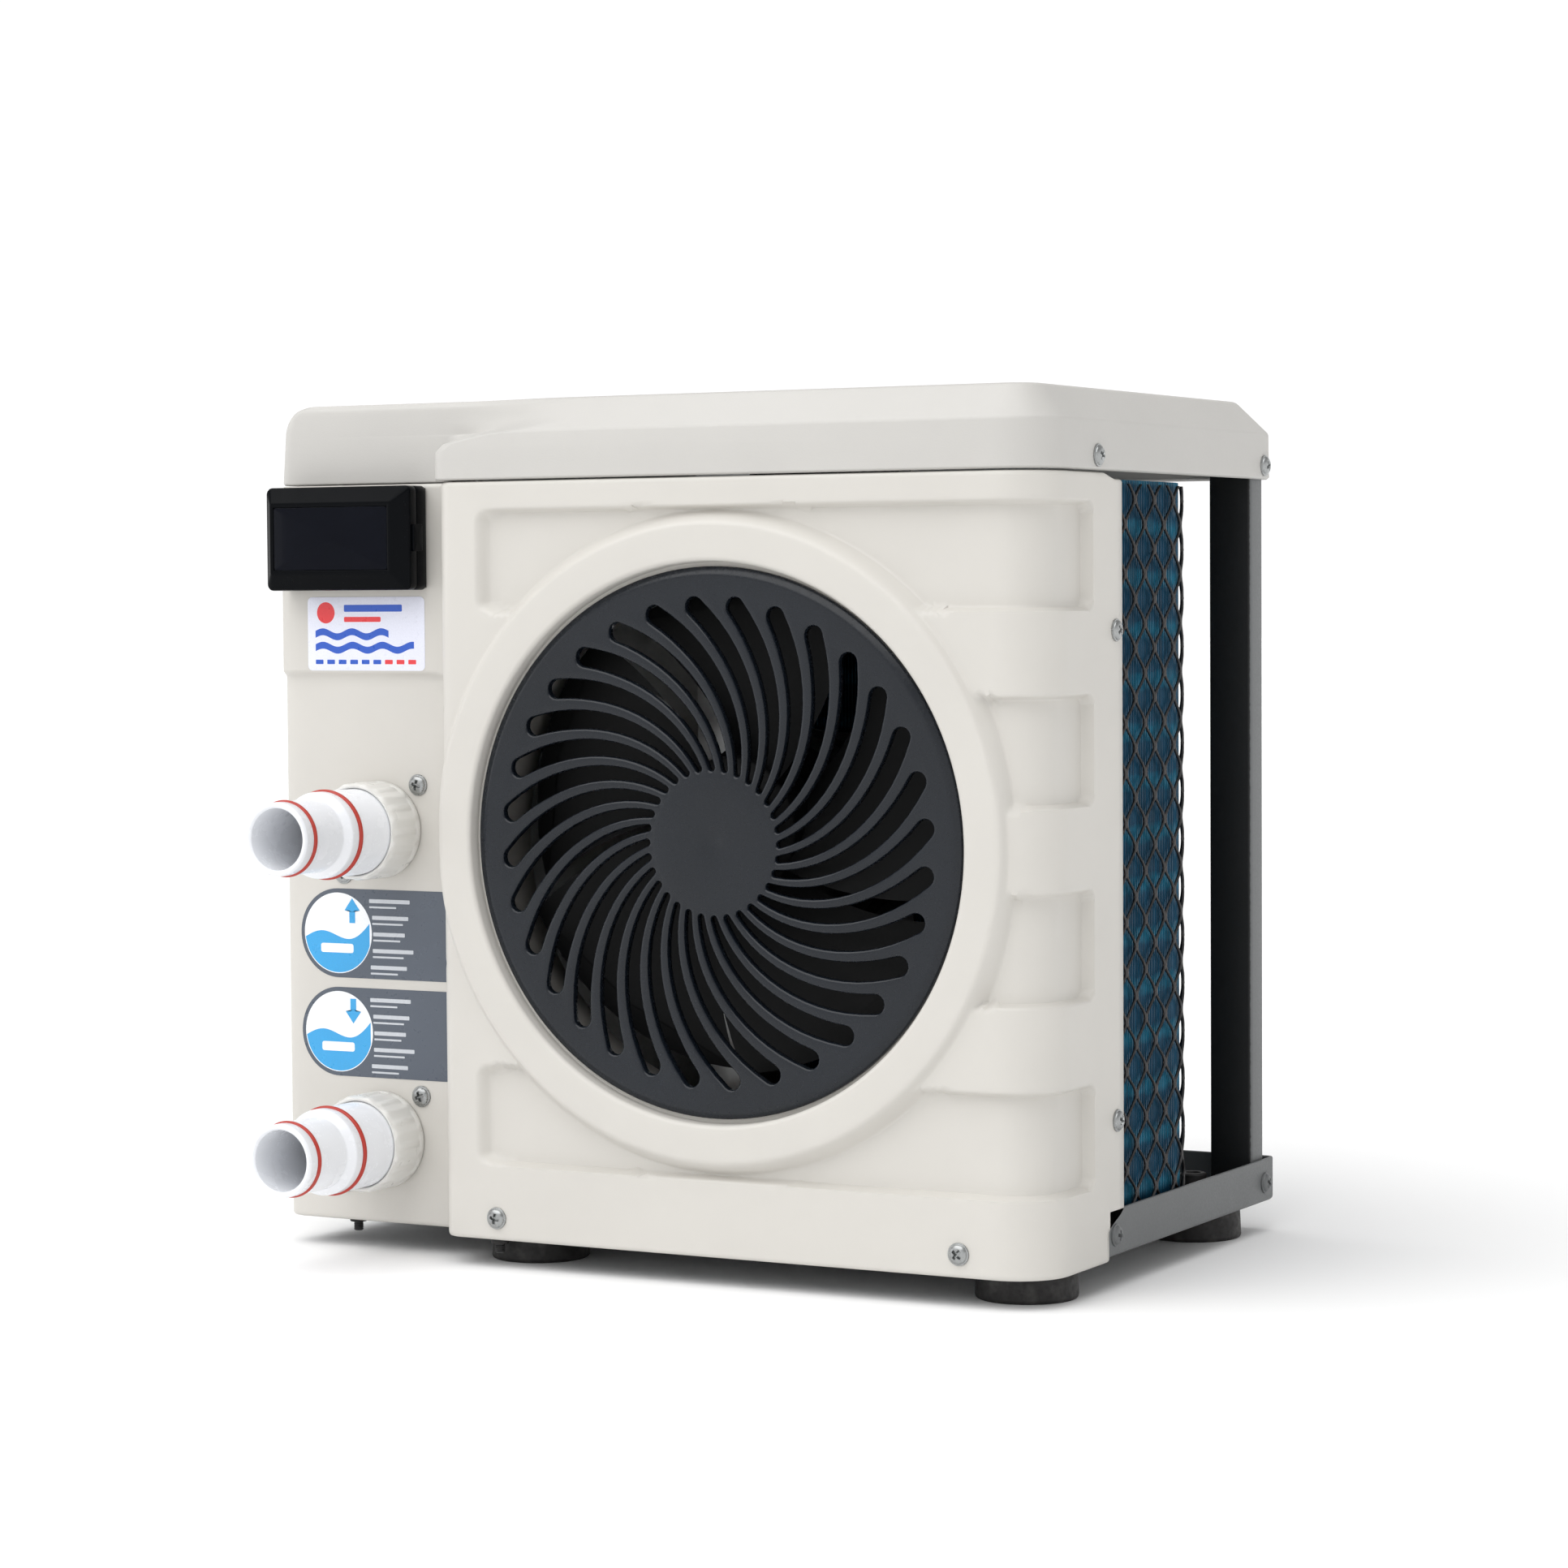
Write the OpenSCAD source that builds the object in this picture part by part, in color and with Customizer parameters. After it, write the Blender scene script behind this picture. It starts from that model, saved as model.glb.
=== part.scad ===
// Compact pool heat pump: plastic front panel and top cover on a folded steel tray,
// axial fan and grille, L-shaped evaporator, compressor, water heat exchanger,
// two stepped hose tails with union nuts, and a controller under a hinged lid.
// Case axes: x to the right, y to the rear, z up; x = 0 at the left side,
// y = 0 at the front face of the fan section, z = 0 at the floor.

/* [Case] */
// Width of the fan section, right of the step
fan_w = 285; // [280:1:400]
// Width of the water section, left of the step
water_w = 92; // [90:1:140]
// Depth from the front face to the tray's rear flange
case_d = 242; // [238:1:320]
// Height of the top cover above the floor
case_h = 366; // [350:1:460]
// How far the water section's face is set back
step_d = 20; // [16:1:30]
// Radius of the right front corner
corner_r = 23; // [14:1:30]
// Radius of the step's outer corner
step_r = 8; // [5:1:10]

/* [Front panel] */
// Wall thickness of the front panel
panel_t = 3; // [2:0.1:4]
// Depth of the side flanges behind the front face
flange_d = 75; // [70:1:90]
// Depth of the recessed windows
recess_d = 5; // [3:0.5:6]
// How far the windows wrap round the corner
recess_wrap = 47; // [40:1:55]
// How far the upper pad of the water section stands proud
pad_t = 3; // [1:0.5:4]
// Height of the upper pad, below the seam
pad_h = 82; // [70:1:100]

/* [Top cover] */
// Height of the top cover above the seam
lid_h = 34; // [28:1:50]
// Height of its vertical band
lid_band = 20; // [14:1:24]
// Width of the slope round the top
lid_bevel = 11; // [6:1:14]
// Wall thickness of the top cover
lid_t = 2.5; // [2:0.1:3.5]
// How far the top cover stops short of the tray's rear flange
lid_short = 4; // [2:0.5:8]
// Radius of the left shoulder
shoulder_r = 13; // [8:1:20]
// Gap at the seam
seam_gap = 0.5; // [0.3:0.1:1]

/* [Fan] */
// Height of the fan axis above the floor
fan_z = 182; // [175:1:230]
// Outer radius of the flat face of the ring
ring_r = 131; // [129:1:134]
// How far the ring stands proud
ring_proud = 3; // [2:0.5:5]
// Radius of the grille
grille_r = 113; // [111:0.5:114]
// Clearance round the grille
grille_gap = 2; // [1:0.5:3]
// Thickness of the grille
grille_t = 4; // [3:0.5:5]
// Inner radius of the duct
duct_r = 109; // [106:0.5:110]
// Depth of the duct behind the front face
duct_d = 36; // [30:1:45]
// Number of slots in the grille
slot_count = 32; // [24:1:36]
// Radius of the grille's hub
hub_r = 28; // [24:1:32]
// Tip radius of the fan
rotor_r = 102; // [90:1:104]
// Number of fan blades
blade_count = 5; // [3:1:7]
// Radius of the motor shaft
shaft_r = 4; // [3:0.5:6]
// Radius of the motor
motor_r = 42; // [36:1:46]

/* [Coil] */
// Thickness of the fin pack
coil_t = 20; // [16:1:24]
// Outer radius of its bend
coil_bend = 45; // [38:1:60]
// Radius of the refrigerant tubes
tube_r = 3.5; // [3:0.25:4.5]
// Spacing of the tube rows
row_pitch = 21; // [19:0.5:25]
// Gap between the coil's outer face and the case side
coil_gap = 5; // [4.5:0.5:8]

/* [Base] */
// Height of the feet below the tray
foot_h = 13.6; // [10:0.2:25]
// Radius of the feet
foot_r = 21; // [16:0.5:24]
// Radius of the feet's fixing holes
foot_hole_r = 3.3; // [2.2:0.1:4]
// Height of the tray's flanges
tray_h = 19.2; // [14:0.2:30]
// Thickness of the sheet metal
sheet = 1.5; // [1:0.1:2]

/* [Water fittings] */
// Radius of the water passages
water_r = 13; // [10:0.5:13.5]
// Outer radius of the narrow step
tail_r1 = 15.5; // [15:0.1:16]
// Outer radius of the wide step
tail_r2 = 18.4; // [17.8:0.1:19]
// How far the hose tails stand in front of the front face
tail_out = 58; // [50:1:70]
// Height of the inlet above the floor
inlet_z = 48.6; // [44:0.2:60]
// Spacing of the inlet and the outlet
port_pitch = 134.4; // [120:0.2:145]
// Distance of the water fittings from the left side
port_x = 52.3; // [46:0.1:56]
// Outer radius of the union nuts across their corners
nut_r = 21.5; // [21:0.1:22]

/* [Controller] */
// Width of the controller
ctrl_w = 73.8; // [70:0.2:80]
// Height of the controller
ctrl_h = 44.4; // [40:0.2:56]
// Depth of the controller's lid
ctrl_lid_d = 8.4; // [7.6:0.1:12]
// Radius of the buttons
button_r = 3.6; // [2.5:0.1:4]
// Travel of the buttons
button_travel = 0.8; // [0.4:0.1:1]

/* [Power inlet] */
// Radius of the cord hole in the cable gland
gland_hole_r = 4; // [3:0.1:5]
// How far the cable gland stands out of the rear panel
gland_out = 17; // [14:1:24]

/* [Hidden] */
$fn = 64;

CREAM = [0.87, 0.85, 0.82];
COVER_GREY = [0.82, 0.81, 0.79];
SLATE = [0.2, 0.22, 0.25];
BLACK = [0.06, 0.06, 0.07];
STEEL_GREY = [0.4, 0.41, 0.41];
ZINC = [0.74, 0.75, 0.75];
COPPER = [0.72, 0.43, 0.28];
WHITE = [0.94, 0.94, 0.93];

far = 2 * (fan_w + water_w);
slack = 1;
case_w = fan_w + water_w;
step_x = water_w;
seam_z = case_h - lid_h;
tray_z = foot_h + sheet;
tray_top = foot_h + tray_h;
panel_drop = 1.6;
panel_z = foot_h - panel_drop;
panel_top = seam_z - seam_gap;
lid_d = case_d - lid_short;
face_y = step_d;
pad_y = step_d - pad_t;
fit_gap = 0.3;
touch_gap = 0.2;

// fan stations along y
ring_edge = 4.3;
fan_x = step_x + ring_edge + ring_r;
ring_foot_r = ring_r + recess_d;
grille_y = 0.5;
seat_y = grille_y + grille_t;
grille_hole_r = grille_r + grille_gap;
shaft_y = seat_y + 2;
fan_nut_y = shaft_y + 1;
fan_nut_t = 4.5;
rotor_y = fan_nut_y + fan_nut_t;
rotor_d = 26;
rotor_hub_r = 30;
rotor_hub_t = 2.5;
rotor_web_t = 3;
blade_half = 18;
blade_bend = 70;
blade_t = 2;
blade_root = rotor_hub_r - 6;
blade_edge = 0.5;
boss_y = rotor_y + rotor_d + 8;
boss_t = 6;
motor_y = boss_y + boss_t;
motor_d = 48;
shaft_gap = 0.05;
shaft_end = motor_y + motor_d - 22;
bracket_y = motor_y + motor_d;
rail_x = 30;
rail_w = 12;
rail_d = 10;
motor_rib = 4;
motor_rib_h = 3;

// grille slots: turn per millimetre of radius, and the bars left between them
slot_start = 11.2;
slot_turn = 0.575;
slot_turn_r = 30;
slot_max = 8;
bar_t = 3;
bar_taper = 0.03;
slot_in = hub_r + 3;
slot_out = grille_r - 16;
slot_steps = 6;

// coil stations
coil_x = case_w - coil_gap;
coil_y = case_d - 61;
coil_front = flange_d - 11;
coil_left = step_x + 82;
coil_z0 = tray_z + 2;
coil_z1 = seam_z - 3;
bend_x = coil_x - coil_bend;
bend_y = coil_y - coil_bend;
rows = 2 * floor((coil_z1 - coil_z0) / row_pitch / 2);
row_z0 = (coil_z0 + coil_z1 - (rows - 1) * row_pitch) / 2;
plate_t = 1.2;
stub = 2;
plate_over = 2;
plate_x = min(coil_x + plate_over, case_w - panel_t - 2 * touch_gap);
tube_gap = 1;
tube_x = coil_x - coil_t / 2;
tube_y = coil_y - coil_t / 2;
net_gap = 1;
net_t = 1.2;
net_strand = 1.6;
net_pitch = 20;
net_rows = 8;

// feet
foot_x = [step_x + 29, case_w - 26];
foot_y = [37, case_d - 32];
foot_stem_r = foot_hole_r + 2.7;
foot_stem_h = 13;
foot_head_z = tray_z + foot_stem_h;

// base studs with their sleeves
stud_r = 2.2;
stud_places = [[28, face_y + 15], [step_x + 25, 10.5]];
stud_bottom = 5;
stud_over = 3;
sleeve_r = 3.8;
sleeve_h = 4.6;

// left and rear service panel, partition and post
service_x = panel_t;
service_y = lid_d - lid_t - sheet - 0.5;
service_front = flange_d - 12;
tab_top = seam_z + 14;
part_x = step_x + 8;
part_y = 60;
part_x2 = coil_left - 19;
service_right = part_x2;
part_t = 1.2;
post_side = case_w - lid_t - touch_gap;
post_front = case_d - 21;
post_back = lid_d - lid_t - 2;
post_w = 19.5;
louvres = 8;
louvre_z = 90;
louvre_pitch = 14;
louvre_w = 60;
louvre_h = 3;

// water side
outlet_z = inlet_z + port_pitch;
port_z = [outlet_z, inlet_z];
tail_step = 27;
tail_chamfer = 3;
nut_y0 = tail_out - 59;
nut_lip = 3;
nut_y1 = face_y - 0.4;
nut_hole_r = tail_r2 + fit_gap;
collar_r = tail_r2 + 0.75;
nut_bore_r = collar_r + fit_gap;
collar_y = nut_y0 + nut_lip + 0.2;
collar_t = 3;
washer_t = 1.5;
port_r = nut_bore_r - 0.1;
port_y = collar_y + collar_t + washer_t;
exch_r = 38;
exch_t = 4;
exch_y = face_y + panel_t + 11 + exch_r;
exch_z0 = tray_z + 3.9;
exch_z1 = outlet_z + 42;
exch_cap_t = 15;
exch_bevel = 5;
exch_foot = 4;
exch_foot_h = 3;
ring_pitch = 12;
rings_low = 120;
rings_high = 24;
coil_ring_r = 25;
coil_tube_r = 4.5;
ring_seal_r = [1.1, 1.2];
ring_seal_s = [7, 36];
ring_out = [0.7, 0.85];
port_screw_off = 19.5;

// compressor
comp_x = step_x - 16;
comp_y = case_d - 76;
comp_r = 44;
grommet_h = 12.9;
comp_z0 = tray_z + grommet_h;
comp_plate_t = 3;
comp_h = 175;
comp_top = comp_z0 + comp_h;
comp_bolt_r = 52;
comp_hole_r = 5;
comp_lug = 9;
comp_dome_h = 12;
comp_dome_in = 10;
comp_legs = [90, 210, 330];
bolt_r = 2.5;
bolt_hole_r = 2.6;
bolt_under = 3;
bolt_nut_r = 5;
bolt_nut_t = 4.5;
bolt_over = 12;
washer_over = 2;
grommet_r = 8;
cap_r = 17;
cap_h = 16;
cap_pin_r = 3;
cap_pin_h = 4;
cap_off = 8;
acc_r = 14;
acc_x = comp_x + comp_r + acc_r + 3;
acc_off = 6;
acc_y = comp_y + acc_off;
acc_z0 = 60;
acc_z1 = 170;
pipe_r = 3.2;
elbow_over = 0.4;
acc_cone = 8;
acc_neck_r = 5;
acc_rise = 12;
thin_pipe_r = 2;
riser_r = 3.2;
discharge_off = 22;
pipe_drop = 7;
suction_rise = 10;
pipe_z = exch_z1 + exch_cap_t + 14;
duct_pipe_x = part_x2 - 7;

// electrical box
box_x0 = 8;
box_side = 8;
box_x1 = duct_pipe_x - box_side;
box_y0 = comp_y - 46;
box_y1 = service_y - 6;
box_z0 = pipe_z + 8;
box_z1 = seam_z - 10;
box_t = 2;
board_in = 8;
board_t = 1.6;
board_rise = 6;
chip_in = 6;
chip_pitch = 24;
chip = [16, 14, 12.4];
drum_r = 9;
drum_h = 26.4;
drum_pitch = 34;
drum_in = [22, 30];
pillar_r = 3;
pillar_in = 12;
gland_x = 40;
gland_z = 60;
gland_thread_r = gland_hole_r + 2;
gland_hex_r = gland_thread_r + 2.6;
gland_hex_t = 5;
gland_in = 8;
gland_lock_t = 4;
gland_seat = 2;
gland_dome = 4;

// controller stations
ctrl_x = 6.3;
ctrl_z1 = seam_z - 1.4;
ctrl_z0 = ctrl_z1 - ctrl_h;
gasket_t = 0.8;
ctrl_back = pad_y - gasket_t;
ctrl_split = ctrl_back - 7.6;
lid_gap = 0.15;
ctrl_lid_y = ctrl_split - lid_gap - ctrl_lid_d;
ctrl_t = 2;
lid_wall = 1.8;
lid_face = 2;
bezel_l = 3.7;
bezel_r = 8;
bezel_v = 6.9;
bezel_d = 3;
hinge_x = ctrl_x - 0.4;
hinge_y = ctrl_split - lid_gap / 2;
knuckle_r = 2.1;
pin_r = 1;
pin_gap = 0.05;
knuckle_h = 7.5;
knuckle_z = [ctrl_z0 + 8.4, ctrl_z0 + 26.4];
pane_gap = 0.1;
plate_y = ctrl_split + 0.5;
plate_t2 = 1.8;
screen_w = 34;
screen_h = 20;
screen_x = ctrl_x + 8;
ctrl_mid = (ctrl_z0 + ctrl_z1) / 2;
button_x = [ctrl_x + ctrl_w - 23, ctrl_x + ctrl_w - 12];
button_z = [ctrl_mid + 6, ctrl_mid - 6];
button_proud = 1.4;
button_gap = 0.15;
button_foot = button_r + 1;
button_rim = 1;
latch_h = 12;
latch_t = 0.9;
latch_out = 1.2;
latch_over = 3;
pane_rim = 2;
pane_sunk = 0.2;
pane_back = 0.7;

// labels
label_t = 0.3;
label_r = 19.4;
label_x = 10;
label_end = 0.5;
flow_z = [inlet_z + 88.8, inlet_z + 45.8];
name_x = [label_x + 7.5, step_x - 14];
name_z = [seam_z - 80.4, seam_z - 48.6];

// fasteners
screw_r = 1.9;
screw_hole_r = 2.0;
head_r = 3.9;
washer_r = 4.6;
head_t = 2.4;
flange_t = 0.8;
head_rim = 1.2;
head_dome = 1.4;
cross_w = 0.9;
cross_len = 4;
long_screw = 8;
short_screw = 4.6;
front_screws = [[step_x + 30.2, foot_h + 7.8], [case_w - 38.5, foot_h + 8]];
flange_screw_y = 68.6;
flange_screw_z = [69, seam_z - 64];
cover_screw_y = [51.4, lid_d - 8.2];
cover_screw_z = seam_z + 6;
tray_screw_y = [66.6, case_d - 12.6];
tray_screw_z = foot_h + 8.8;

// recessed windows: left edge, lowest and highest z
window_floor_x = fan_x;
WINDOWS = [
  [step_x + 22, seam_z - 56, seam_z - 12],
  [step_x + 20, panel_z + 31.6, panel_z + 74.5],
  [window_floor_x, fan_z + 16, fan_z + 61],
  [window_floor_x, fan_z - 62.2, fan_z - 17]
];
lug_w = 15;
lug_low = 30;
lug_foot = 10;
notch_w = 13.2;
ctrl_hole_r = 4;

row_shift = [-case_w / 2, (tail_out - (service_y + sheet + gland_out)) / 2, 0];

// ---- helpers ----
// box between two corners
module block(a, b) translate(a) cube(b - a);
// rod along y, from y0 to y1
module rod_y(r, y0, y1, x, z) translate([x, y0, z]) rotate([-90, 0, 0]) cylinder(r = r, h = y1 - y0);
// rod along x, from x0 to x1
module rod_x(r, x0, x1, y, z) translate([x0, y, z]) rotate([0, 90, 0]) cylinder(r = r, h = x1 - x0);
// rod along z, from z0 to z1
module rod_z(r, z0, z1, x, y) translate([x, y, z0]) cylinder(r = r, h = z1 - z0);
// profile of [radius, y] points turned round a y axis
module turned_y(x, z) translate([x, 0, z]) rotate([-90, 0, 0]) rotate_extrude() children();
// outline drawn as it is seen from the front, from y0 to y1
module facing(x, y0, y1, z)
  translate([x, y1, z]) rotate([90, 0, 0]) linear_extrude(height = y1 - y0) children();
module placed() translate(row_shift) children();

// plan outline with rounded front corners, open towards the rear
module front_corners(x0, x1, y0, y1, rl, rr) {
  translate([x0 + rl, y0]) square([x1 - rr - x0 - rl, y1 - y0]);
  translate([x0, y0 + rl]) square([rl, y1 - y0 - rl]);
  translate([x1 - rr, y0 + rr]) square([rr, y1 - y0 - rr]);
  translate([x0 + rl, y0 + rl]) circle(r = rl);
  translate([x1 - rr, y0 + rr]) circle(r = rr);
}

// plan outline of the front panel, drawn in by inset, with the water section's face at y = face
module panel_plan(inset, face, back) {
  rl = max(step_r - inset, 0.5);
  front_corners(step_x + inset, case_w - inset, inset, back, rl, corner_r - inset);
  front_corners(inset, step_x + 2 * panel_t + 4, face + inset, back, rl, 0.5);
}

module panel_band(z0, z1, face, inner_face)
  translate([0, 0, z0]) linear_extrude(height = z1 - z0) difference() {
    panel_plan(0, face, flange_d);
    panel_plan(panel_t, inner_face, flange_d + slack);
  }

// zone of one recessed window, grown by the wall
module window_zone(w, grow) block([w[0] - grow, -slack, w[1] - grow], [far, recess_wrap + grow, w[2] + grow]);

module window_layer(w, grow, outer, inner) intersection() {
  window_zone(w, grow);
  linear_extrude(height = far) difference() {
    panel_plan(outer, face_y, flange_d);
    panel_plan(inner, face_y, flange_d + slack);
  }
}

module ring_profile() {
  t = panel_t;
  polygon([
    [grille_hole_r, -ring_proud], [ring_r, -ring_proud], [ring_foot_r, recess_d],
    [ring_foot_r, recess_d + t], [ring_foot_r - t, recess_d + t], [ring_r - t, 0],
    [grille_hole_r + t, 0], [grille_hole_r + t, seat_y + t], [duct_r + t, seat_y + t],
    [duct_r + t, duct_d], [duct_r, duct_d], [duct_r, seat_y], [grille_hole_r, seat_y]
  ]);
}

// solid plug of the ring's outside, which the windows stop against
module ring_plug() turned_y(fan_x, fan_z)
  polygon([[0, -ring_proud - slack], [ring_r, -ring_proud - slack], [ring_r, -ring_proud],
    [ring_foot_r, recess_d], [ring_foot_r, recess_d + panel_t + slack], [0, recess_d + panel_t + slack]]);

module front_lugs() for (side = [0, 1]) {
  x = side ? case_w - 2 * panel_t : panel_t + sheet + touch_gap;
  y0 = cover_screw_y[0] - lug_w / 2;
  block([x, y0, seam_z - lug_low], [x + panel_t, y0 + lug_w, tab_top]);
  if (!side) block([panel_t, y0, seam_z - lug_low], [x, y0 + lug_w, seam_z - lug_low + lug_foot]);
}

module front_panel() color(CREAM) placed() difference() {
  union() {
    difference() {
      union() {
        panel_band(panel_z, seam_z - pad_h, face_y, face_y);
        panel_band(seam_z - pad_h, seam_z - pad_h + panel_t, pad_y, face_y);
        panel_band(seam_z - pad_h + panel_t, panel_top, pad_y, pad_y);
        for (w = WINDOWS) window_layer(w, panel_t, 0, recess_d + panel_t);
      }
      rod_y(ring_r, -slack, recess_d + panel_t + slack, fan_x, fan_z);
    }
    intersection() {
      turned_y(fan_x, fan_z) ring_profile();
      union() {
        linear_extrude(height = case_h) panel_plan(0, face_y, flange_d);
        block([step_x + 2, -ring_proud - slack, 0], [case_w, slack, case_h]);
      }
    }
    front_lugs();
  }
  for (w = WINDOWS) difference() {
    window_layer(w, 0, -slack, recess_d);
    ring_plug();
  }
  for (s = front_screws) rod_y(screw_hole_r, -slack, panel_t + slack, s[0], s[1]);
  for (z = flange_screw_z) side_holes(screw_hole_r, flange_screw_y, z, 2 * panel_t);
  side_holes(screw_hole_r, cover_screw_y[0], cover_screw_z, 3 * panel_t);
  for (z = port_z) {
    rod_y(port_r + fit_gap, face_y - slack, face_y + panel_t + slack, port_x, z);
    for (s = [-1, 1])
      rod_y(screw_hole_r, face_y - slack, face_y + panel_t + slack, port_x + s * port_screw_off,
        z + s * port_screw_off);
  }
  rod_y(ctrl_hole_r, pad_y - slack, pad_y + panel_t + slack, ctrl_x + ctrl_w / 2, ctrl_mid);
  for (x = [-slack, case_w - panel_t - slack])
    block([x, tray_screw_y[0] - notch_w / 2, 0], [x + panel_t + 2 * slack, flange_d + slack, tray_top]);
}

// one hole through each side, at the same y and z
module side_holes(r, y, z, depth) {
  rod_x(r, -slack, depth, y, z);
  rod_x(r, case_w - depth, case_w + slack, y, z);
}

// ---- base ----
module tray_plan(inset) {
  front = panel_t + touch_gap + inset;
  side = [inset, tray_screw_y[0] - notch_w / 2 + touch_gap + inset];
  translate(side) square([case_w - 2 * inset, case_d - inset - side[1]]);
  left_r = max(step_r - front, 0.5);
  front_corners(step_x + front, case_w - front, front, case_d / 2, left_r, corner_r - front);
  front_corners(front, step_x + 2 * front, face_y + front, case_d / 2, left_r, 0.5);
}

module base_tray() color(STEEL_GREY) placed() difference() {
  translate([0, 0, foot_h]) linear_extrude(height = tray_h) tray_plan(0);
  translate([0, 0, tray_z]) linear_extrude(height = far) tray_plan(sheet);
  for (x = foot_x, y = foot_y) rod_z(foot_stem_r, 0, tray_top, x, y);
  for (a = comp_legs)
    rod_z(bolt_hole_r, 0, tray_top, comp_x + comp_bolt_r * cos(a), comp_y + comp_bolt_r * sin(a));
  for (p = stud_places) rod_z(stud_r, 0, tray_top, p[0], p[1]);
  for (s = front_screws) rod_y(screw_hole_r, 0, 10, s[0], s[1]);
  rod_y(port_r + fit_gap, face_y, face_y + 10, port_x, inlet_z);
  rod_y(screw_hole_r, face_y, face_y + 10, port_x - port_screw_off, inlet_z - port_screw_off);
  for (y = tray_screw_y) side_holes(screw_hole_r, y, tray_screw_z, 2 * panel_t);
}

module foot(i, j) color(BLACK) placed() difference() {
  union() {
    rod_z(foot_r, 0, foot_h, foot_x[i], foot_y[j]);
    rod_z(foot_stem_r, 0, foot_head_z, foot_x[i], foot_y[j]);
  }
  rod_z(foot_hole_r, -slack, foot_head_z + slack, foot_x[i], foot_y[j]);
}

module rear_post() color(STEEL_GREY) placed() difference() {
  union() {
    block([post_side - post_w, post_front, tray_z], [post_side, post_front + sheet, tab_top]);
    block([post_side - sheet, post_front, tray_z], [post_side, post_back, tab_top]);
  }
  rod_x(screw_hole_r, case_w - 10, case_w, cover_screw_y[1], cover_screw_z);
  rod_x(screw_hole_r, case_w - 10, case_w, tray_screw_y[1], tray_screw_z);
}

module base_studs() color(BLACK) placed() for (p = stud_places) {
  rod_z(stud_r, stud_bottom, tray_z + stud_over, p[0], p[1]);
  rod_z(sleeve_r, foot_h - sleeve_h, foot_h, p[0], p[1]);
}

// ---- covers ----
// block with sloping front, rear and sides above its vertical band, and round front corners
module sloped_block(x0, x1, y0, y1, z0, band, h, rl, rr, slope) {
  prof_y = [[y0, z0], [y1, z0], [y1, z0 + band], [y1 - slope, z0 + h], [y0 + slope, z0 + h], [y0, z0 + band]];
  prof_x = [[x0, z0], [x1, z0], [x1, z0 + band], [x1 - slope, z0 + h], [x0 + slope, z0 + h], [x0, z0 + band]];
  difference() {
    intersection() {
      translate([x0, 0, 0]) rotate([90, 0, 90]) linear_extrude(height = x1 - x0) polygon(prof_y);
      translate([0, y1, 0]) rotate([90, 0, 0]) linear_extrude(height = y1 - y0) polygon(prof_x);
    }
    block([x0 - slack, y0 - slack, z0 - slack], [x0 + rl, y0 + rl, z0 + h + slack]);
    block([x1 - rr, y0 - slack, z0 - slack], [x1 + slack, y0 + rr, z0 + h + slack]);
  }
  for (c = [[x0 + rl, rl], [x1 - rr, rr]]) translate([c[0], y0 + c[1], z0]) {
    cylinder(r = c[1], h = band);
    translate([0, 0, band]) cylinder(r1 = c[1], r2 = c[1] - slope, h = h - band);
  }
}

// left end of the top cover: flat front and a rounded shoulder
module shoulder(inset, x1, y0, y1, z0) {
  r = shoulder_r - inset;
  h = case_h - inset - z0;
  translate([0, y1, z0]) rotate([90, 0, 0]) linear_extrude(height = y1 - y0) {
    translate([inset, 0]) square([r, h - r]);
    translate([inset + r, 0]) square([x1 - inset - r, h]);
    translate([inset + r, h - r]) circle(r = r);
  }
}

module cover_body(inset, z0) {
  band = seam_z + lid_band - z0 - inset / 2;
  sloped_block(step_x + inset, case_w - inset, inset, lid_d - inset, z0, band, case_h - inset - z0,
    lid_bevel + 4 - inset, corner_r - inset, lid_bevel);
  shoulder(inset, step_x + 2 * corner_r, face_y + inset, lid_d - inset - lid_bevel, z0);
  shoulder_rear(inset, z0, band);
}

// rear slope of the cover's left end
module shoulder_rear(inset, z0, band) {
  y1 = lid_d - inset;
  h = case_h - inset - z0;
  intersection() {
    shoulder(inset, step_x + 2 * corner_r, face_y + inset, y1, z0);
    translate([-slack, 0, 0]) rotate([90, 0, 90]) linear_extrude(height = far)
      polygon([[face_y, z0], [y1, z0], [y1, z0 + band], [y1 - lid_bevel, z0 + h], [face_y, z0 + h]]);
  }
}

module top_cover() color(COVER_GREY) placed() difference() {
  cover_body(0, seam_z);
  cover_body(lid_t, seam_z - slack);
  for (y = cover_screw_y) side_holes(screw_hole_r, y, cover_screw_z, 2 * panel_t);
}

// side sheet and rear sheet, which meet in a butt joint at the corner
module service_panel() color(COVER_GREY) placed() difference() {
  union() {
    block([service_x, service_front, tray_z], [service_x + sheet, service_y - fit_gap, tab_top]);
    block([service_x, service_y, tray_z], [service_right, service_y + sheet, tab_top]);
  }
  for (i = [0:louvres - 1])
    block([0, comp_y - louvre_w / 2, louvre_z + louvre_pitch * i],
      [service_x + sheet + slack, comp_y + louvre_w / 2, louvre_z + louvre_pitch * i + louvre_h]);
  rod_y(gland_thread_r, service_y - slack, case_d, gland_x, gland_z);
  for (z = flange_screw_z) rod_x(screw_hole_r, 0, 10, flange_screw_y, z);
  for (y = tray_screw_y) rod_x(screw_hole_r, 0, 10, y, tray_screw_z);
  rod_x(screw_hole_r, 0, 10, cover_screw_y[1], cover_screw_z);
}

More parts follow.
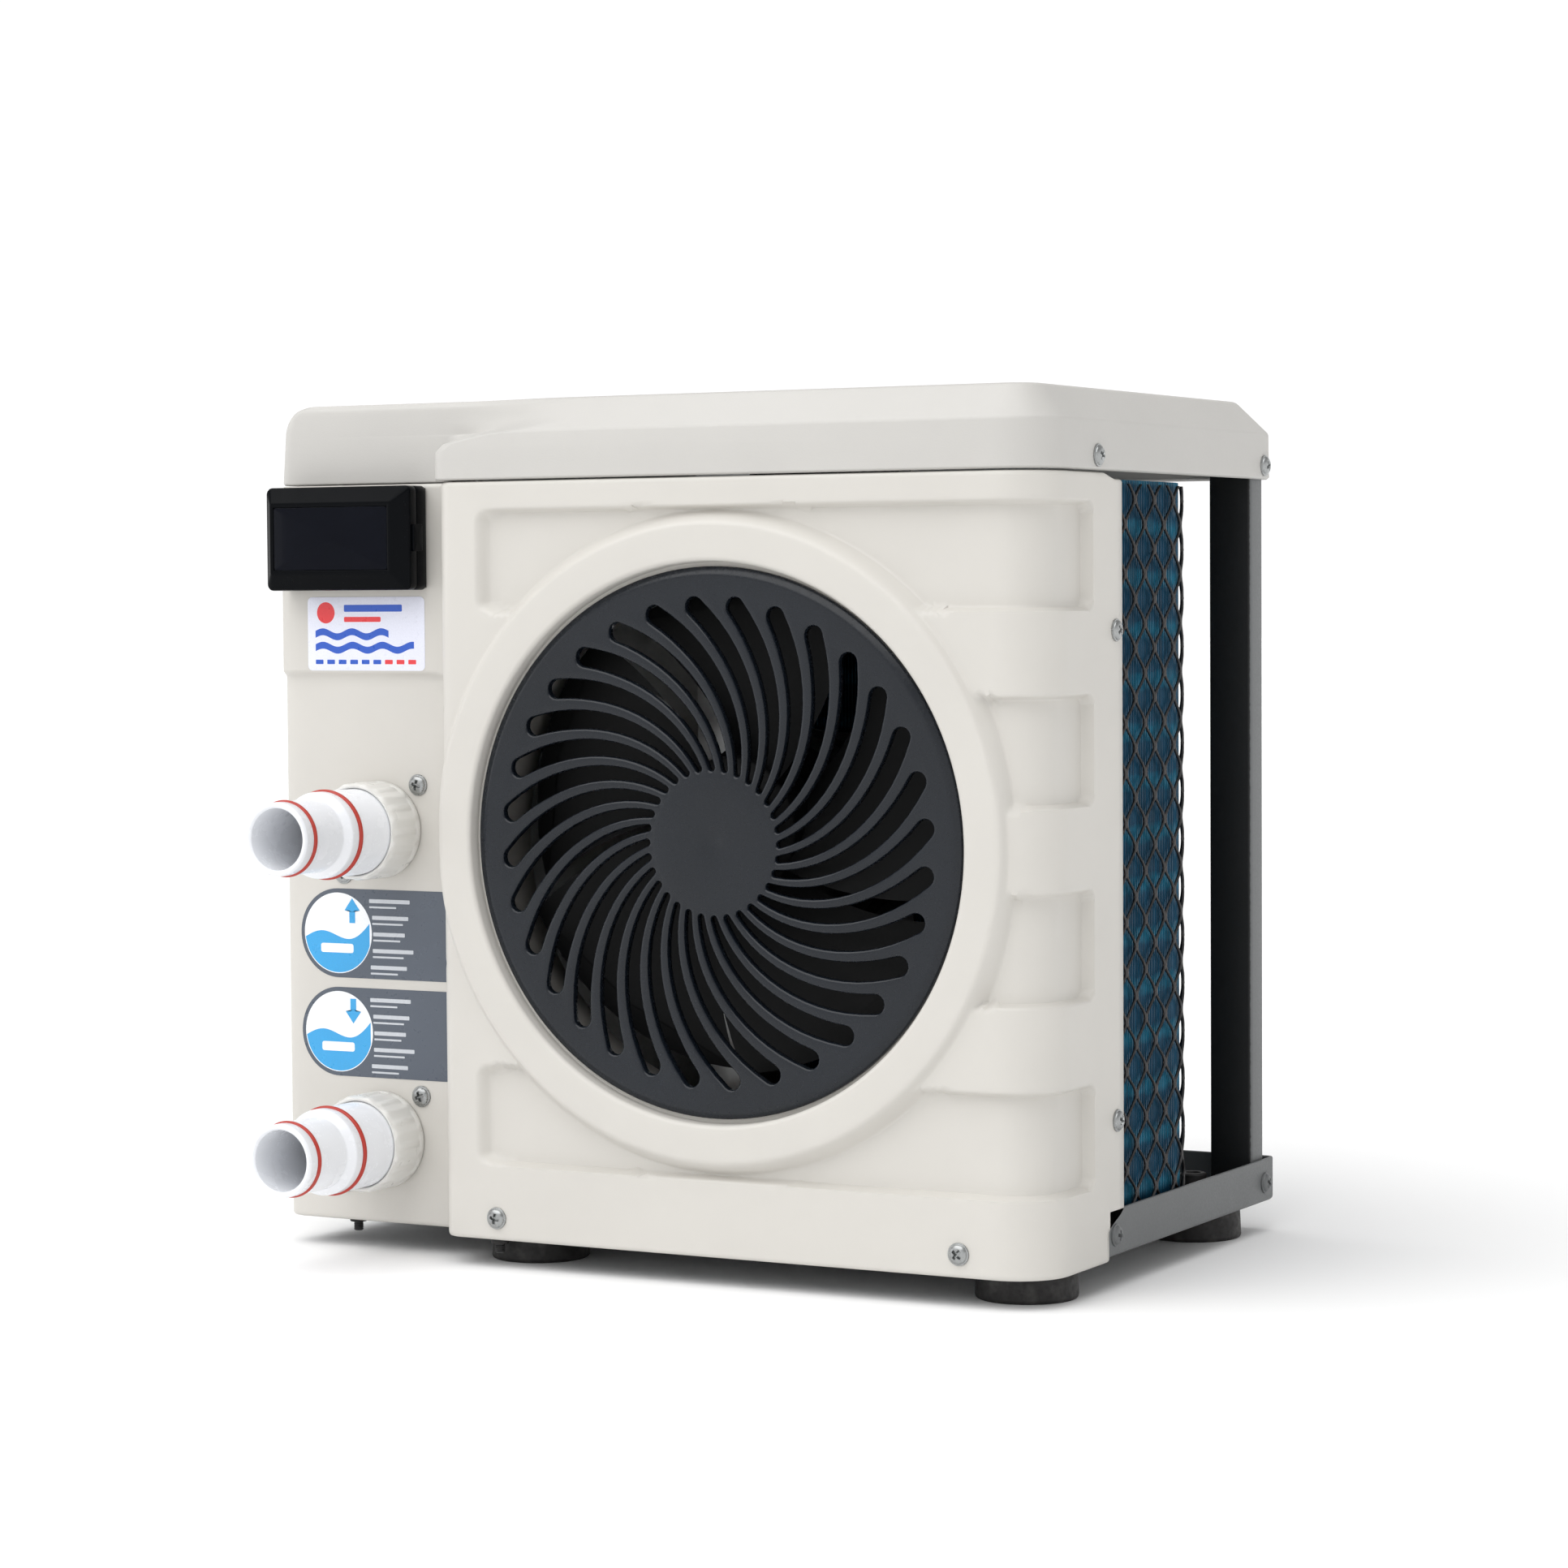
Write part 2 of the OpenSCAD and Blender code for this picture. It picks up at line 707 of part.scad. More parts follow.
module partition_plate() color(STEEL_GREY) placed() difference() {
  run = [[part_x, face_y + panel_t + slack], [part_x, part_y], [part_x2, part_y + part_x2 - part_x],
    [part_x2, service_y - touch_gap]];
  back = [for (i = [3:-1:0]) run[i] + [part_t, 0]];
  translate([0, 0, tray_z]) linear_extrude(height = tab_top - tray_z) polygon(concat(run, back));
  rod_x(tube_r + tube_gap, part_x2 - slack, part_x2 + 3, tube_y, row_z0);
  rod_x(tube_r + tube_gap, part_x2 - slack, part_x2 + 3, tube_y, row_z0 + (rows - 1) * row_pitch);
}

// ---- fan ----
// angle of a slot's centre line at radius r, in degrees, seen from the front
function spiral(r) = slot_start + slot_turn * (r - slot_turn_r);
function lean(r) = atan(r * slot_turn * PI / 180);
function slot_width(r) =
  min(slot_max, 2 * PI * r / slot_count * cos(lean(r)) - bar_t - bar_taper * (r - slot_turn_r));
function slot_edge(r, side, along) = let (a = spiral(r), d = a + lean(r), w = slot_width(r) / 2)
  [r * cos(a) - side * w * sin(d) * cos(along) + w * cos(d) * sin(along),
   r * sin(a) + side * w * cos(d) * cos(along) + w * sin(d) * sin(along)];
slot_rs = [for (i = [0:slot_steps]) slot_in + (slot_out - slot_in) * i / slot_steps];
module slot() polygon(concat(
  [for (r = slot_rs) slot_edge(r, 1, 0)],
  [for (t = [30, 60, 90]) slot_edge(slot_out, 1, t)], [for (t = [60, 30]) slot_edge(slot_out, -1, t)],
  [for (i = [slot_steps:-1:0]) slot_edge(slot_rs[i], -1, 0)], [slot_edge(slot_in, -1, -90)]));

module fan_grille() color(SLATE) placed() facing(fan_x, grille_y, seat_y, fan_z) difference() {
  circle(r = grille_r);
  for (i = [0:slot_count - 1]) rotate(i * 360 / slot_count) slot();
}

// curved blade along +z, cut to the tip circle
module blade() {
  mid_y = rotor_y + rotor_d / 2;
  rise = rotor_d / 2 - 1;
  chord = sqrt(blade_half * blade_half + rise * rise);
  drop = sqrt(blade_bend * blade_bend - chord * chord);
  intersection() {
    translate([-rise / chord * drop, mid_y + blade_half / chord * drop, blade_root]) difference() {
      cylinder(r = blade_bend, h = rotor_r);
      translate([0, 0, -slack]) cylinder(r = blade_bend - blade_t, h = rotor_r + 2 * slack);
    }
    block([-blade_half, rotor_y + blade_edge, blade_root - slack],
      [blade_half, rotor_y + rotor_d - blade_edge, rotor_r + slack]);
    rod_y(rotor_r, 0, motor_y, 0, 0);
  }
}

module fan_rotor() color(BLACK) placed() difference() {
  union() {
    translate([fan_x, 0, fan_z]) for (i = [0:blade_count - 1]) rotate([0, i * 360 / blade_count, 0]) blade();
    rod_y(rotor_hub_r, rotor_y, rotor_y + rotor_d, fan_x, fan_z);
  }
  difference() {
    rod_y(rotor_hub_r - rotor_hub_t, rotor_y + rotor_web_t, motor_y, fan_x, fan_z);
    rod_y(2 * shaft_r, 0, motor_y, fan_x, fan_z);
  }
  rod_y(shaft_r, 0, motor_y, fan_x, fan_z);
}

module fan_nut() color(ZINC) placed() difference() {
  translate([fan_x, fan_nut_y, fan_z]) rotate([-90, 0, 0]) cylinder(r = 2 * shaft_r, h = fan_nut_t, $fn = 6);
  rod_y(shaft_r, 0, motor_y, fan_x, fan_z);
}

module motor_shaft() color(ZINC) placed() rod_y(shaft_r, shaft_y, shaft_end, fan_x, fan_z);

module fan_motor() color(STEEL_GREY) placed() difference() {
  union() {
    rod_y(motor_r, motor_y, motor_y + motor_d, fan_x, fan_z);
    rod_y(3 * shaft_r, boss_y, motor_y, fan_x, fan_z);
    rod_y(motor_r + motor_rib_h, motor_y + (motor_d - motor_rib) / 2, motor_y + (motor_d + motor_rib) / 2,
      fan_x, fan_z);
  }
  rod_y(shaft_r + shaft_gap, 0, shaft_end + 1, fan_x, fan_z);
}

module motor_bracket() color(STEEL_GREY) placed() {
  block([fan_x - rail_x - rail_w, bracket_y, fan_z - motor_r],
    [fan_x + rail_x + rail_w, bracket_y + sheet, fan_z + motor_r]);
  for (s = [-1, 1]) difference() {
    x = fan_x + s * rail_x;
    block([x - rail_w / 2, bracket_y + sheet, tray_z], [x + rail_w / 2, bracket_y + sheet + rail_d, tab_top]);
    block([x - rail_w / 2 + sheet, bracket_y + 2 * sheet, tray_z - slack],
      [x + rail_w / 2 - sheet, bracket_y + sheet + rail_d + slack, tab_top + slack]);
  }
  block([fan_x - rail_x - rail_w / 2, bracket_y, tab_top - rail_w],
    [fan_x + rail_x + rail_w / 2, bracket_y + sheet, tab_top]);
}

// ---- evaporator ----
// band that follows the coil's outer face, from off inside it to off + t
module coil_band(off, t, front, left) {
  r1 = coil_bend - off;
  r0 = r1 - t;
  translate([coil_x - off - t, front]) square([t, bend_y - front]);
  translate([left, coil_y - off - t]) square([bend_x - left, t]);
  intersection() {
    translate([bend_x, bend_y]) difference() {
      circle(r = r1);
      circle(r = r0);
    }
    translate([bend_x, bend_y]) square([far, far]);
  }
}

// one tube row, following the middle of the fin pack
module tube_row(z) {
  rod_y(tube_r, coil_front - plate_t - stub, bend_y, tube_x, z);
  rod_x(tube_r, coil_left - plate_t - stub, bend_x, tube_y, z);
  translate([bend_x, bend_y, z])
    rotate_extrude(angle = 90) translate([coil_bend - coil_t / 2, 0]) circle(r = tube_r);
}

// half ring that joins the row at z to the row above it
module return_bend(place, turn, z) translate([place[0], place[1], z + row_pitch / 2]) rotate(turn)
  rotate([90, 0, 0]) rotate([0, 0, 90])
    rotate_extrude(angle = 180) translate([row_pitch / 2, 0]) circle(r = tube_r);

module evaporator_fins() color([0.04, 0.36, 0.45]) placed() difference() {
  translate([0, 0, coil_z0]) linear_extrude(height = coil_z1 - coil_z0)
    coil_band(0, coil_t, coil_front, coil_left);
  for (i = [0:rows - 1]) tube_row(row_z0 + i * row_pitch);
}

module evaporator_tubes() color(COPPER) placed() {
  for (i = [0:rows - 1]) tube_row(row_z0 + i * row_pitch);
  for (i = [0:2:rows - 1])
    return_bend([tube_x, coil_front - plate_t - stub], 90, row_z0 + i * row_pitch);
  for (i = [1:2:rows - 2])
    return_bend([coil_left - plate_t - stub, tube_y], 0, row_z0 + i * row_pitch);
}

module coil_end_plates() color(ZINC) placed() difference() {
  union() {
    block([coil_x - coil_t - plate_over, coil_front - plate_t, tray_z], [plate_x, coil_front, coil_z1]);
    block([plate_x - plate_t, coil_front - plate_t, tray_z], [plate_x, flange_d - slack, coil_z1]);
    block([coil_left - plate_t, coil_y - coil_t - plate_over, tray_z],
      [coil_left, coil_y + net_gap + plate_over, coil_z1]);
  }
  for (i = [0:rows - 1]) tube_row(row_z0 + i * row_pitch);
  for (z = flange_screw_z) rod_x(screw_hole_r, coil_x, case_w, flange_screw_y, z);
  rod_x(screw_hole_r, coil_x, case_w, tray_screw_y[0], tray_screw_z);
}

module coil_net() color(BLACK) placed() {
  front = flange_d;
  z0 = coil_z0;
  z1 = coil_z1;
  off = -net_gap - net_t;
  for (i = [0:net_rows])
    translate([0, 0, z0 + i * (z1 - z0 - net_strand) / net_rows]) linear_extrude(height = net_strand)
      coil_band(off, net_t, front, coil_left + slack);
  for (y = [front:net_pitch:bend_y])
    block([coil_x + net_gap, y, z0], [coil_x + net_gap + net_t, y + net_strand, z1]);
  for (x = [coil_left + slack:net_pitch:bend_x])
    block([x, coil_y + net_gap, z0], [x + net_strand, coil_y + net_gap + net_t, z1]);
  r = coil_bend + net_gap;
  for (a = [22, 45, 68]) translate([bend_x, bend_y, 0]) rotate(a)
    block([r + 0.05, -net_strand / 2, z0], [r + net_t - 0.05, net_strand / 2, z1]);
}

// ---- refrigeration ----
module compressor_shell() color(BLACK) placed() difference() {
  union() {
    rod_z(comp_r, comp_z0, comp_top - comp_dome_h, comp_x, comp_y);
    translate([comp_x, comp_y, comp_top - comp_dome_h])
      cylinder(r1 = comp_r, r2 = comp_r - comp_dome_in, h = comp_dome_h);
    for (a = comp_legs) translate([comp_x, comp_y, comp_z0]) rotate(a)
      block([0, -comp_lug, 0], [comp_bolt_r + comp_lug, comp_lug, comp_plate_t]);
  }
  for (a = comp_legs)
    rod_z(comp_hole_r, 0, comp_z0 + comp_plate_t + slack, comp_x + comp_bolt_r * cos(a),
      comp_y + comp_bolt_r * sin(a));
}

module compressor_cap() color(SLATE) placed() {
  rod_z(cap_r, comp_top, comp_top + cap_h, comp_x + cap_off, comp_y);
  rod_z(cap_pin_r, comp_top + cap_h, comp_top + cap_h + cap_pin_h, comp_x + cap_off, comp_y);
}

module at_comp_bolts() for (a = comp_legs)
  translate([comp_x + comp_bolt_r * cos(a), comp_y + comp_bolt_r * sin(a), 0]) children();

module compressor_grommets() color(BLACK) placed() at_comp_bolts() difference() {
  union() {
    rod_z(grommet_r, tray_z, comp_z0, 0, 0);
    rod_z(comp_hole_r, tray_z, comp_z0 + comp_plate_t + washer_over, 0, 0);
  }
  rod_z(bolt_hole_r, 0, far, 0, 0);
}

module compressor_bolts() color(ZINC) placed() at_comp_bolts() {
  rod_z(bolt_r, foot_h - bolt_under, comp_z0 + comp_plate_t + bolt_over, 0, 0);
  translate([0, 0, comp_z0 + comp_plate_t + washer_over]) cylinder(r = bolt_nut_r, h = bolt_nut_t, $fn = 6);
}

// straight lengths with a ball elbow, a little wider than the pipe, at each inner point
module pipe_run(pts, r) for (i = [0:len(pts) - 2]) {
  v = pts[i + 1] - pts[i];
  translate(pts[i]) rotate([0, acos(v[2] / norm(v)), atan2(v[1], v[0])]) cylinder(r = r, h = norm(v));
  if (i > 0) translate(pts[i]) sphere(r = r + elbow_over);
}

module suction_accumulator() color(BLACK) placed() {
  rod_z(acc_r, acc_z0 + acc_cone, acc_z1 - acc_cone, acc_x, acc_y);
  translate([acc_x, acc_y, acc_z0]) cylinder(r1 = acc_neck_r, r2 = acc_r, h = acc_cone);
  translate([acc_x, acc_y, acc_z1 - acc_cone]) cylinder(r1 = acc_r, r2 = acc_neck_r, h = acc_cone);
  reach = sqrt(comp_r * comp_r - acc_off * acc_off) - slack / 2;
  difference() {
    pipe_run([[acc_x, acc_y, acc_z1 - 2 * slack], [acc_x, acc_y, acc_z1 + acc_rise],
      [comp_x + reach, acc_y, acc_z1 + acc_rise]], pipe_r);
    rod_z(comp_r, 0, far, comp_x, comp_y);
  }
}

module exchanger_shell() color(WHITE) placed() difference() {
  union() {
    rod_z(exch_r, exch_z0, exch_z1, port_x, exch_y);
    rod_z(exch_r + exch_foot, tray_z, exch_z0 + exch_foot_h, port_x, exch_y);
    for (z = port_z) rod_y(port_r, port_y, exch_y, port_x, z);
  }
  rod_z(exch_r - exch_t, exch_z0 + exch_t, exch_z1 + slack, port_x, exch_y);
  for (z = port_z) rod_y(water_r, 0, exch_y, port_x, z);
}

module exchanger_cap() color(WHITE) placed() difference() {
  union() {
    rod_z(exch_r, exch_z1, exch_z1 + exch_cap_t - exch_bevel, port_x, exch_y);
    translate([port_x, exch_y, exch_z1 + exch_cap_t - exch_bevel])
      cylinder(r1 = exch_r, r2 = exch_r - exch_bevel, h = exch_bevel);
  }
  for (s = [-1, 1]) rod_z(riser_r, 0, far, port_x + s * coil_ring_r, exch_y);
}

module exchanger_coil() color(COPPER) placed() {
  for (z = [outlet_z - rings_low:ring_pitch:outlet_z + rings_high])
    translate([port_x, exch_y, z]) rotate_extrude() translate([coil_ring_r, 0]) circle(r = coil_tube_r);
  for (s = [-1, 1])
    rod_z(riser_r, outlet_z - rings_low, exch_z1 + exch_cap_t, port_x + s * coil_ring_r, exch_y);
}

module discharge_pipe() color(COPPER) placed() {
  y = comp_y - discharge_off;
  pipe_run([[port_x + coil_ring_r, y, comp_top + slack], [port_x + coil_ring_r, y, pipe_z],
    [port_x + coil_ring_r, exch_y, pipe_z], [port_x + coil_ring_r, exch_y, exch_z1 + exch_cap_t]], riser_r);
}

module liquid_pipe() color(COPPER) placed() {
  x = port_x - coil_ring_r;
  z0 = pipe_z - pipe_drop;
  z = row_z0 + (rows - 1) * row_pitch;
  y = box_y0 - box_side;
  x2 = duct_pipe_x;
  pipe_run([[x, exch_y, exch_z1 + exch_cap_t], [x, exch_y, z0], [x, y, z0], [x2, y, z0],
    [x2, tube_y, z0], [x2, tube_y, z], [coil_left - plate_t - stub, tube_y, z]], thin_pipe_r);
}

module suction_pipe() color(COPPER) placed() {
  z = row_z0 + suction_rise;
  pipe_run([[coil_left - plate_t - stub, tube_y, row_z0], [acc_x, tube_y, row_z0], [acc_x, tube_y, z],
    [acc_x, acc_y, z], [acc_x, acc_y, acc_z0]], pipe_r);
}

// ---- electrical ----
module electrical_box() color(SLATE) placed() difference() {
  block([box_x0, box_y0, box_z0], [box_x1, box_y1, box_z1 - box_t]);
  block([box_x0 + box_t, box_y0 + box_t, box_z0 + box_t], [box_x1 - box_t, box_y1 - box_t, box_z1]);
}
module electrical_box_cover() color(SLATE) placed()
  block([box_x0, box_y0, box_z1 - box_t], [box_x1, box_y1, box_z1]);
module control_board() color([0.05, 0.35, 0.2]) placed() {
  z = box_z0 + box_t + board_rise;
  top = z + board_t;
  near = box_x0 + board_in;
  block([near, box_y0 + board_in, z], [box_x1 - board_in, box_y1 - board_in, top]);
  for (i = [0:3]) translate([near + chip_in + chip_pitch * i, box_y0 + 2 * board_in, top]) cube(chip);
  for (x = [box_x0 + pillar_in, box_x1 - pillar_in], y = [box_y0 + pillar_in, box_y1 - pillar_in])
    rod_z(pillar_r, box_z0 + box_t, z, x, y);
  for (i = [0:1])
    rod_z(drum_r, top, top + drum_h, near + drum_in[0] + drum_pitch * i, box_y1 - drum_in[1]);
}

module cable_gland() color(BLACK) placed() difference() {
  union() {
    translate([gland_x, service_y + sheet, gland_z]) rotate([-90, 0, 0])
      cylinder(r = gland_hex_r, h = gland_hex_t, $fn = 6);
    rod_y(gland_thread_r, service_y - gland_in, service_y + sheet + gland_hex_t + gland_seat,
      gland_x, gland_z);
    translate([gland_x, service_y - gland_lock_t, gland_z]) rotate([-90, 0, 0])
      cylinder(r = gland_hex_r, h = gland_lock_t, $fn = 6);
  }
  rod_y(gland_hole_r, 0, far, gland_x, gland_z);
}
module gland_nut() color(BLACK) placed() turned_y(gland_x, gland_z) polygon([
  [gland_thread_r, service_y + sheet + gland_hex_t], [gland_hex_r - 0.4, service_y + sheet + gland_hex_t],
  [gland_hex_r - 0.4, service_y + sheet + gland_out - gland_dome],
  [gland_hole_r + 1.4, service_y + sheet + gland_out],
  [gland_hole_r, service_y + sheet + gland_out],
  [gland_hole_r, service_y + sheet + gland_hex_t + gland_seat],
  [gland_thread_r, service_y + sheet + gland_hex_t + gland_seat]]);

// ---- water fittings ----
module hose_tail(z) color(WHITE) placed() difference() {
  m = -tail_out;
  turned_y(port_x, z) polygon([[water_r, m], [tail_r1 - 0.8, m], [tail_r1, m + 0.8], [tail_r1, m + tail_step],
    [tail_r2, m + tail_step + tail_chamfer], [tail_r2, collar_y], [collar_r, collar_y],
    [collar_r, collar_y + collar_t], [water_r, collar_y + collar_t]]);
  turned_y(port_x, z) for (i = [0, 1]) {
    r = (i ? tail_r2 : tail_r1) + ring_out[i] - 2 * ring_seal_r[i];
    translate([r - 0.05, m + ring_seal_s[i] - ring_seal_r[i] - 0.1]) square([4, 2 * ring_seal_r[i] + 0.2]);
  }
}

module tail_seals(z) {
  color([0.73, 0.2, 0.14]) placed() turned_y(port_x, z) for (i = [0, 1])
    translate([(i ? tail_r2 : tail_r1) + ring_out[i] - ring_seal_r[i], ring_seal_s[i] - tail_out])
      circle(r = ring_seal_r[i]);
  color(BLACK) placed() turned_y(port_x, z) translate([water_r + 1, collar_y + collar_t])
    square([collar_r - water_r - 2, washer_t]);
}

module union_nut(z) color([0.88, 0.88, 0.85]) placed() difference() {
  translate([port_x, nut_y0, z]) rotate([-90, 0, 0]) {
    cylinder(r = nut_r, h = nut_y1 - nut_y0 - 2, $fn = 12);
    cylinder(r = nut_r - 1, h = nut_y1 - nut_y0);
  }
  rod_y(nut_hole_r, nut_y0 - slack, nut_y0 + nut_lip + slack, port_x, z);
  rod_y(nut_bore_r, nut_y0 + nut_lip, far, port_x, z);
}

// ---- controller ----
module ctrl_block(inset, y0, y1)
  block([ctrl_x + inset, y0, ctrl_z0 + inset], [ctrl_x + ctrl_w - inset, y1, ctrl_z1 - inset]);
module controller_gasket() color(BLACK) placed() difference() {
  ctrl_block(1, ctrl_back, pad_y);
  ctrl_block(4, 0, far);
}
module controller_base() color(BLACK) placed() difference() {
  union() {
    ctrl_block(0, ctrl_split, ctrl_back);
    rod_z(knuckle_r, knuckle_z[0] + knuckle_h + fit_gap, knuckle_z[1] - fit_gap, hinge_x, hinge_y);
  }
  ctrl_block(ctrl_t, ctrl_split - slack, ctrl_back - ctrl_t);
  for (z = knuckle_z) rod_z(knuckle_r + fit_gap, z - fit_gap, z + knuckle_h + fit_gap, hinge_x, hinge_y);
  rod_z(pin_r, 0, far, hinge_x, hinge_y);
  block([0, 0, knuckle_z[0] + knuckle_h + fit_gap], [ctrl_x, hinge_y - 0.5, knuckle_z[1] - fit_gap]);
  rod_y(ctrl_hole_r, ctrl_back - ctrl_t - slack, far, ctrl_x + ctrl_w / 2, ctrl_mid);
}
module controller_plate() color(SLATE) placed() difference() {
  ctrl_block(ctrl_t + 0.1, plate_y, plate_y + plate_t2);
  block([screen_x, 0, ctrl_mid - screen_h / 2], [screen_x + screen_w, far, ctrl_mid + screen_h / 2]);
  for (x = button_x, z = button_z) rod_y(button_r + button_gap, 0, far, x, z);
  for (z = knuckle_z) rod_z(knuckle_r + fit_gap, z - fit_gap, z + knuckle_h + fit_gap, hinge_x, hinge_y);
}
module display_screen() color([0.35, 0.42, 0.4]) placed()
  block([screen_x + pane_gap, plate_y + 0.3, ctrl_mid - screen_h / 2 + pane_gap],
    [screen_x + screen_w - pane_gap, plate_y + plate_t2 + 1, ctrl_mid + screen_h / 2 - pane_gap]);
// push button: a round cap with a wider foot behind the plate
module push_button(i, j) color([0.75, 0.76, 0.77]) placed() {
  back = plate_y + plate_t2 + fit_gap;
  rod_y(button_r, plate_y - button_proud, back, button_x[i], button_z[j]);
  rod_y(button_foot, back, back + button_rim, button_x[i], button_z[j]);
}
// lid body with its four bevels, from the face at y = ctrl_lid_y
module lid_body() {
  y0 = ctrl_lid_y;
  y1 = ctrl_lid_y + ctrl_lid_d;
  x1 = ctrl_x + ctrl_w;
  intersection() {
    translate([0, 0, ctrl_z0]) linear_extrude(height = ctrl_h)
      polygon([[ctrl_x, y1], [ctrl_x, y0 + bezel_d], [ctrl_x + bezel_l, y0], [x1 - bezel_r, y0],
        [x1, y0 + bezel_d], [x1, y1]]);
    translate([ctrl_x, 0, 0]) rotate([90, 0, 90]) linear_extrude(height = ctrl_w)
      polygon([[y1, ctrl_z0], [y0 + bezel_d, ctrl_z0], [y0, ctrl_z0 + bezel_v], [y0, ctrl_z1 - bezel_v],
        [y0 + bezel_d, ctrl_z1], [y1, ctrl_z1]]);
  }
}
module window_block(inset, y0, y1) block([ctrl_x + bezel_l + inset, y0, ctrl_z0 + bezel_v + inset],
  [ctrl_x + ctrl_w - bezel_r - inset, y1, ctrl_z1 - bezel_v - inset]);
module controller_lid() color(BLACK) placed() difference() {
  union() {
    lid_body();
    for (z = knuckle_z) rod_z(knuckle_r, z, z + knuckle_h, hinge_x, hinge_y);
    block([ctrl_x + ctrl_w - lid_wall, ctrl_lid_y + bezel_d + 1, ctrl_mid - latch_h / 2],
      [ctrl_x + ctrl_w + latch_out, ctrl_split - lid_gap, ctrl_mid + latch_h / 2]);
    block([ctrl_x + ctrl_w + latch_out - latch_t, ctrl_lid_y + bezel_d + 1, ctrl_mid - latch_h / 2],
      [ctrl_x + ctrl_w + latch_out, ctrl_split + latch_over, ctrl_mid + latch_h / 2]);
  }
  ctrl_block(bezel_v + 0.6, ctrl_lid_y + lid_face, far);
  ctrl_block(lid_wall, ctrl_lid_y + bezel_d + 1.5, ctrl_split - lid_gap + 0.01);
  window_block(pane_rim, ctrl_lid_y - slack, ctrl_lid_y + lid_face + slack);
  rod_z(knuckle_r + fit_gap, knuckle_z[0] + knuckle_h, knuckle_z[1], hinge_x, hinge_y);
  rod_z(pin_r + pin_gap, 0, far, hinge_x, hinge_y);
}
module lid_window() color([0.05, 0.05, 0.07, 0.6]) placed() {
  window_block(pane_rim + pane_gap, ctrl_lid_y + pane_sunk, ctrl_lid_y + lid_face);
  ctrl_block(bezel_v + pane_back, ctrl_lid_y + lid_face, ctrl_lid_y + lid_face + 1);
}
module lid_hinge_pin() color(ZINC) placed()
  rod_z(pin_r, knuckle_z[0] - 0.5, knuckle_z[1] + knuckle_h + 0.5, hinge_x, hinge_y);

// ---- labels ----
module name_label() color([0.88, 0.89, 0.96]) placed()
  block([name_x[0], pad_y - label_t, name_z[0]], [name_x[1], pad_y, name_z[1]]);
module flow_labels() color([0.3, 0.34, 0.39]) placed()
  for (z = flow_z) facing(0, face_y - label_t, face_y, z) {
    translate([label_x + label_r, 0]) circle(r = label_r);
    translate([label_x + label_r, -label_r]) square([step_x - label_end - label_x - label_r, 2 * label_r]);
  }

// ---- fasteners ----
// pan head screw along +z, its washer face at z = 0 and its shank below
module screw(length) {
  translate([0, 0, -length]) cylinder(r = screw_r, h = length + flange_t / 2);
  difference() {
    union() {
      cylinder(r = washer_r, h = flange_t);
      cylinder(r = head_r, h = head_rim);
      translate([0, 0, head_rim]) cylinder(r1 = head_r, r2 = head_r - head_dome, h = head_t - head_rim);
    }
    for (a = [0, 90]) rotate(a)
      translate([-cross_len / 2, -cross_w / 2, head_rim]) cube([cross_len, cross_w, head_t]);
  }
}
module side_screws(y, z, length) {
  translate([case_w, y, z]) rotate([0, 90, 0]) screw(length);
  translate([0, y, z]) rotate([0, -90, 0]) screw(length);
}
module cover_screws() color(ZINC) placed() for (y = cover_screw_y) side_screws(y, cover_screw_z, long_screw);
module panel_screws() color(ZINC) placed() {
  for (s = front_screws) translate([s[0], 0, s[1]]) rotate([90, 0, 0]) screw(long_screw - 1);
  for (z = flange_screw_z) side_screws(flange_screw_y, z, short_screw);
}
module tray_screws() color(STEEL_GREY) placed()
  for (y = tray_screw_y) side_screws(y, tray_screw_z, short_screw);
module port_screws() color(ZINC) placed() for (z = port_z, s = [-1, 1])
  translate([port_x + s * port_screw_off, face_y, z + s * port_screw_off])
    rotate([90, 0, 0]) screw(long_screw + 1);

base_tray();
foot(0, 0);  // foot_front_left
foot(1, 0);  // foot_front_right
foot(0, 1);  // foot_rear_left
foot(1, 1);  // foot_rear_right
rear_post();
front_panel();
top_cover();
service_panel();
partition_plate();
fan_grille();
fan_rotor();
fan_nut();
motor_shaft();
fan_motor();
motor_bracket();
evaporator_fins();
evaporator_tubes();
coil_end_plates();
coil_net();
compressor_shell();
compressor_cap();
suction_accumulator();
compressor_grommets();
compressor_bolts();
exchanger_shell();
exchanger_cap();
exchanger_coil();
base_studs();
discharge_pipe();
liquid_pipe();
suction_pipe();
electrical_box();
electrical_box_cover();
control_board();
cable_gland();
gland_nut();
hose_tail(outlet_z);  // outlet_hose_tail
hose_tail(inlet_z);  // inlet_hose_tail
union_nut(outlet_z);  // outlet_union_nut
union_nut(inlet_z);  // inlet_union_nut
tail_seals(outlet_z);  // outlet_seals
tail_seals(inlet_z);  // inlet_seals
controller_gasket();
controller_base();
controller_plate();
display_screen();
controller_lid();
lid_window();
lid_hinge_pin();
push_button(0, 0);  // power_button
push_button(0, 1);  // mode_button
push_button(1, 0);  // up_button
push_button(1, 1);  // down_button
name_label();
flow_labels();
cover_screws();
panel_screws();
tray_screws();
port_screws();
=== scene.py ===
"""Finished surfaces, materials and studio for a compact pool heat pump.

Every shape is worked out in case millimetres: x to the right, y to the rear, z up, with x = 0 at the
left side, y = 0 at the front face of the fan section and z = 0 on the floor. put() turns them to metres.
"""
import math

import bmesh
import bpy
import numpy as np
from bpy.props import FloatProperty, FloatVectorProperty, IntProperty, PointerProperty
from mathutils import Matrix, Vector
from mathutils.geometry import delaunay_2d_cdt


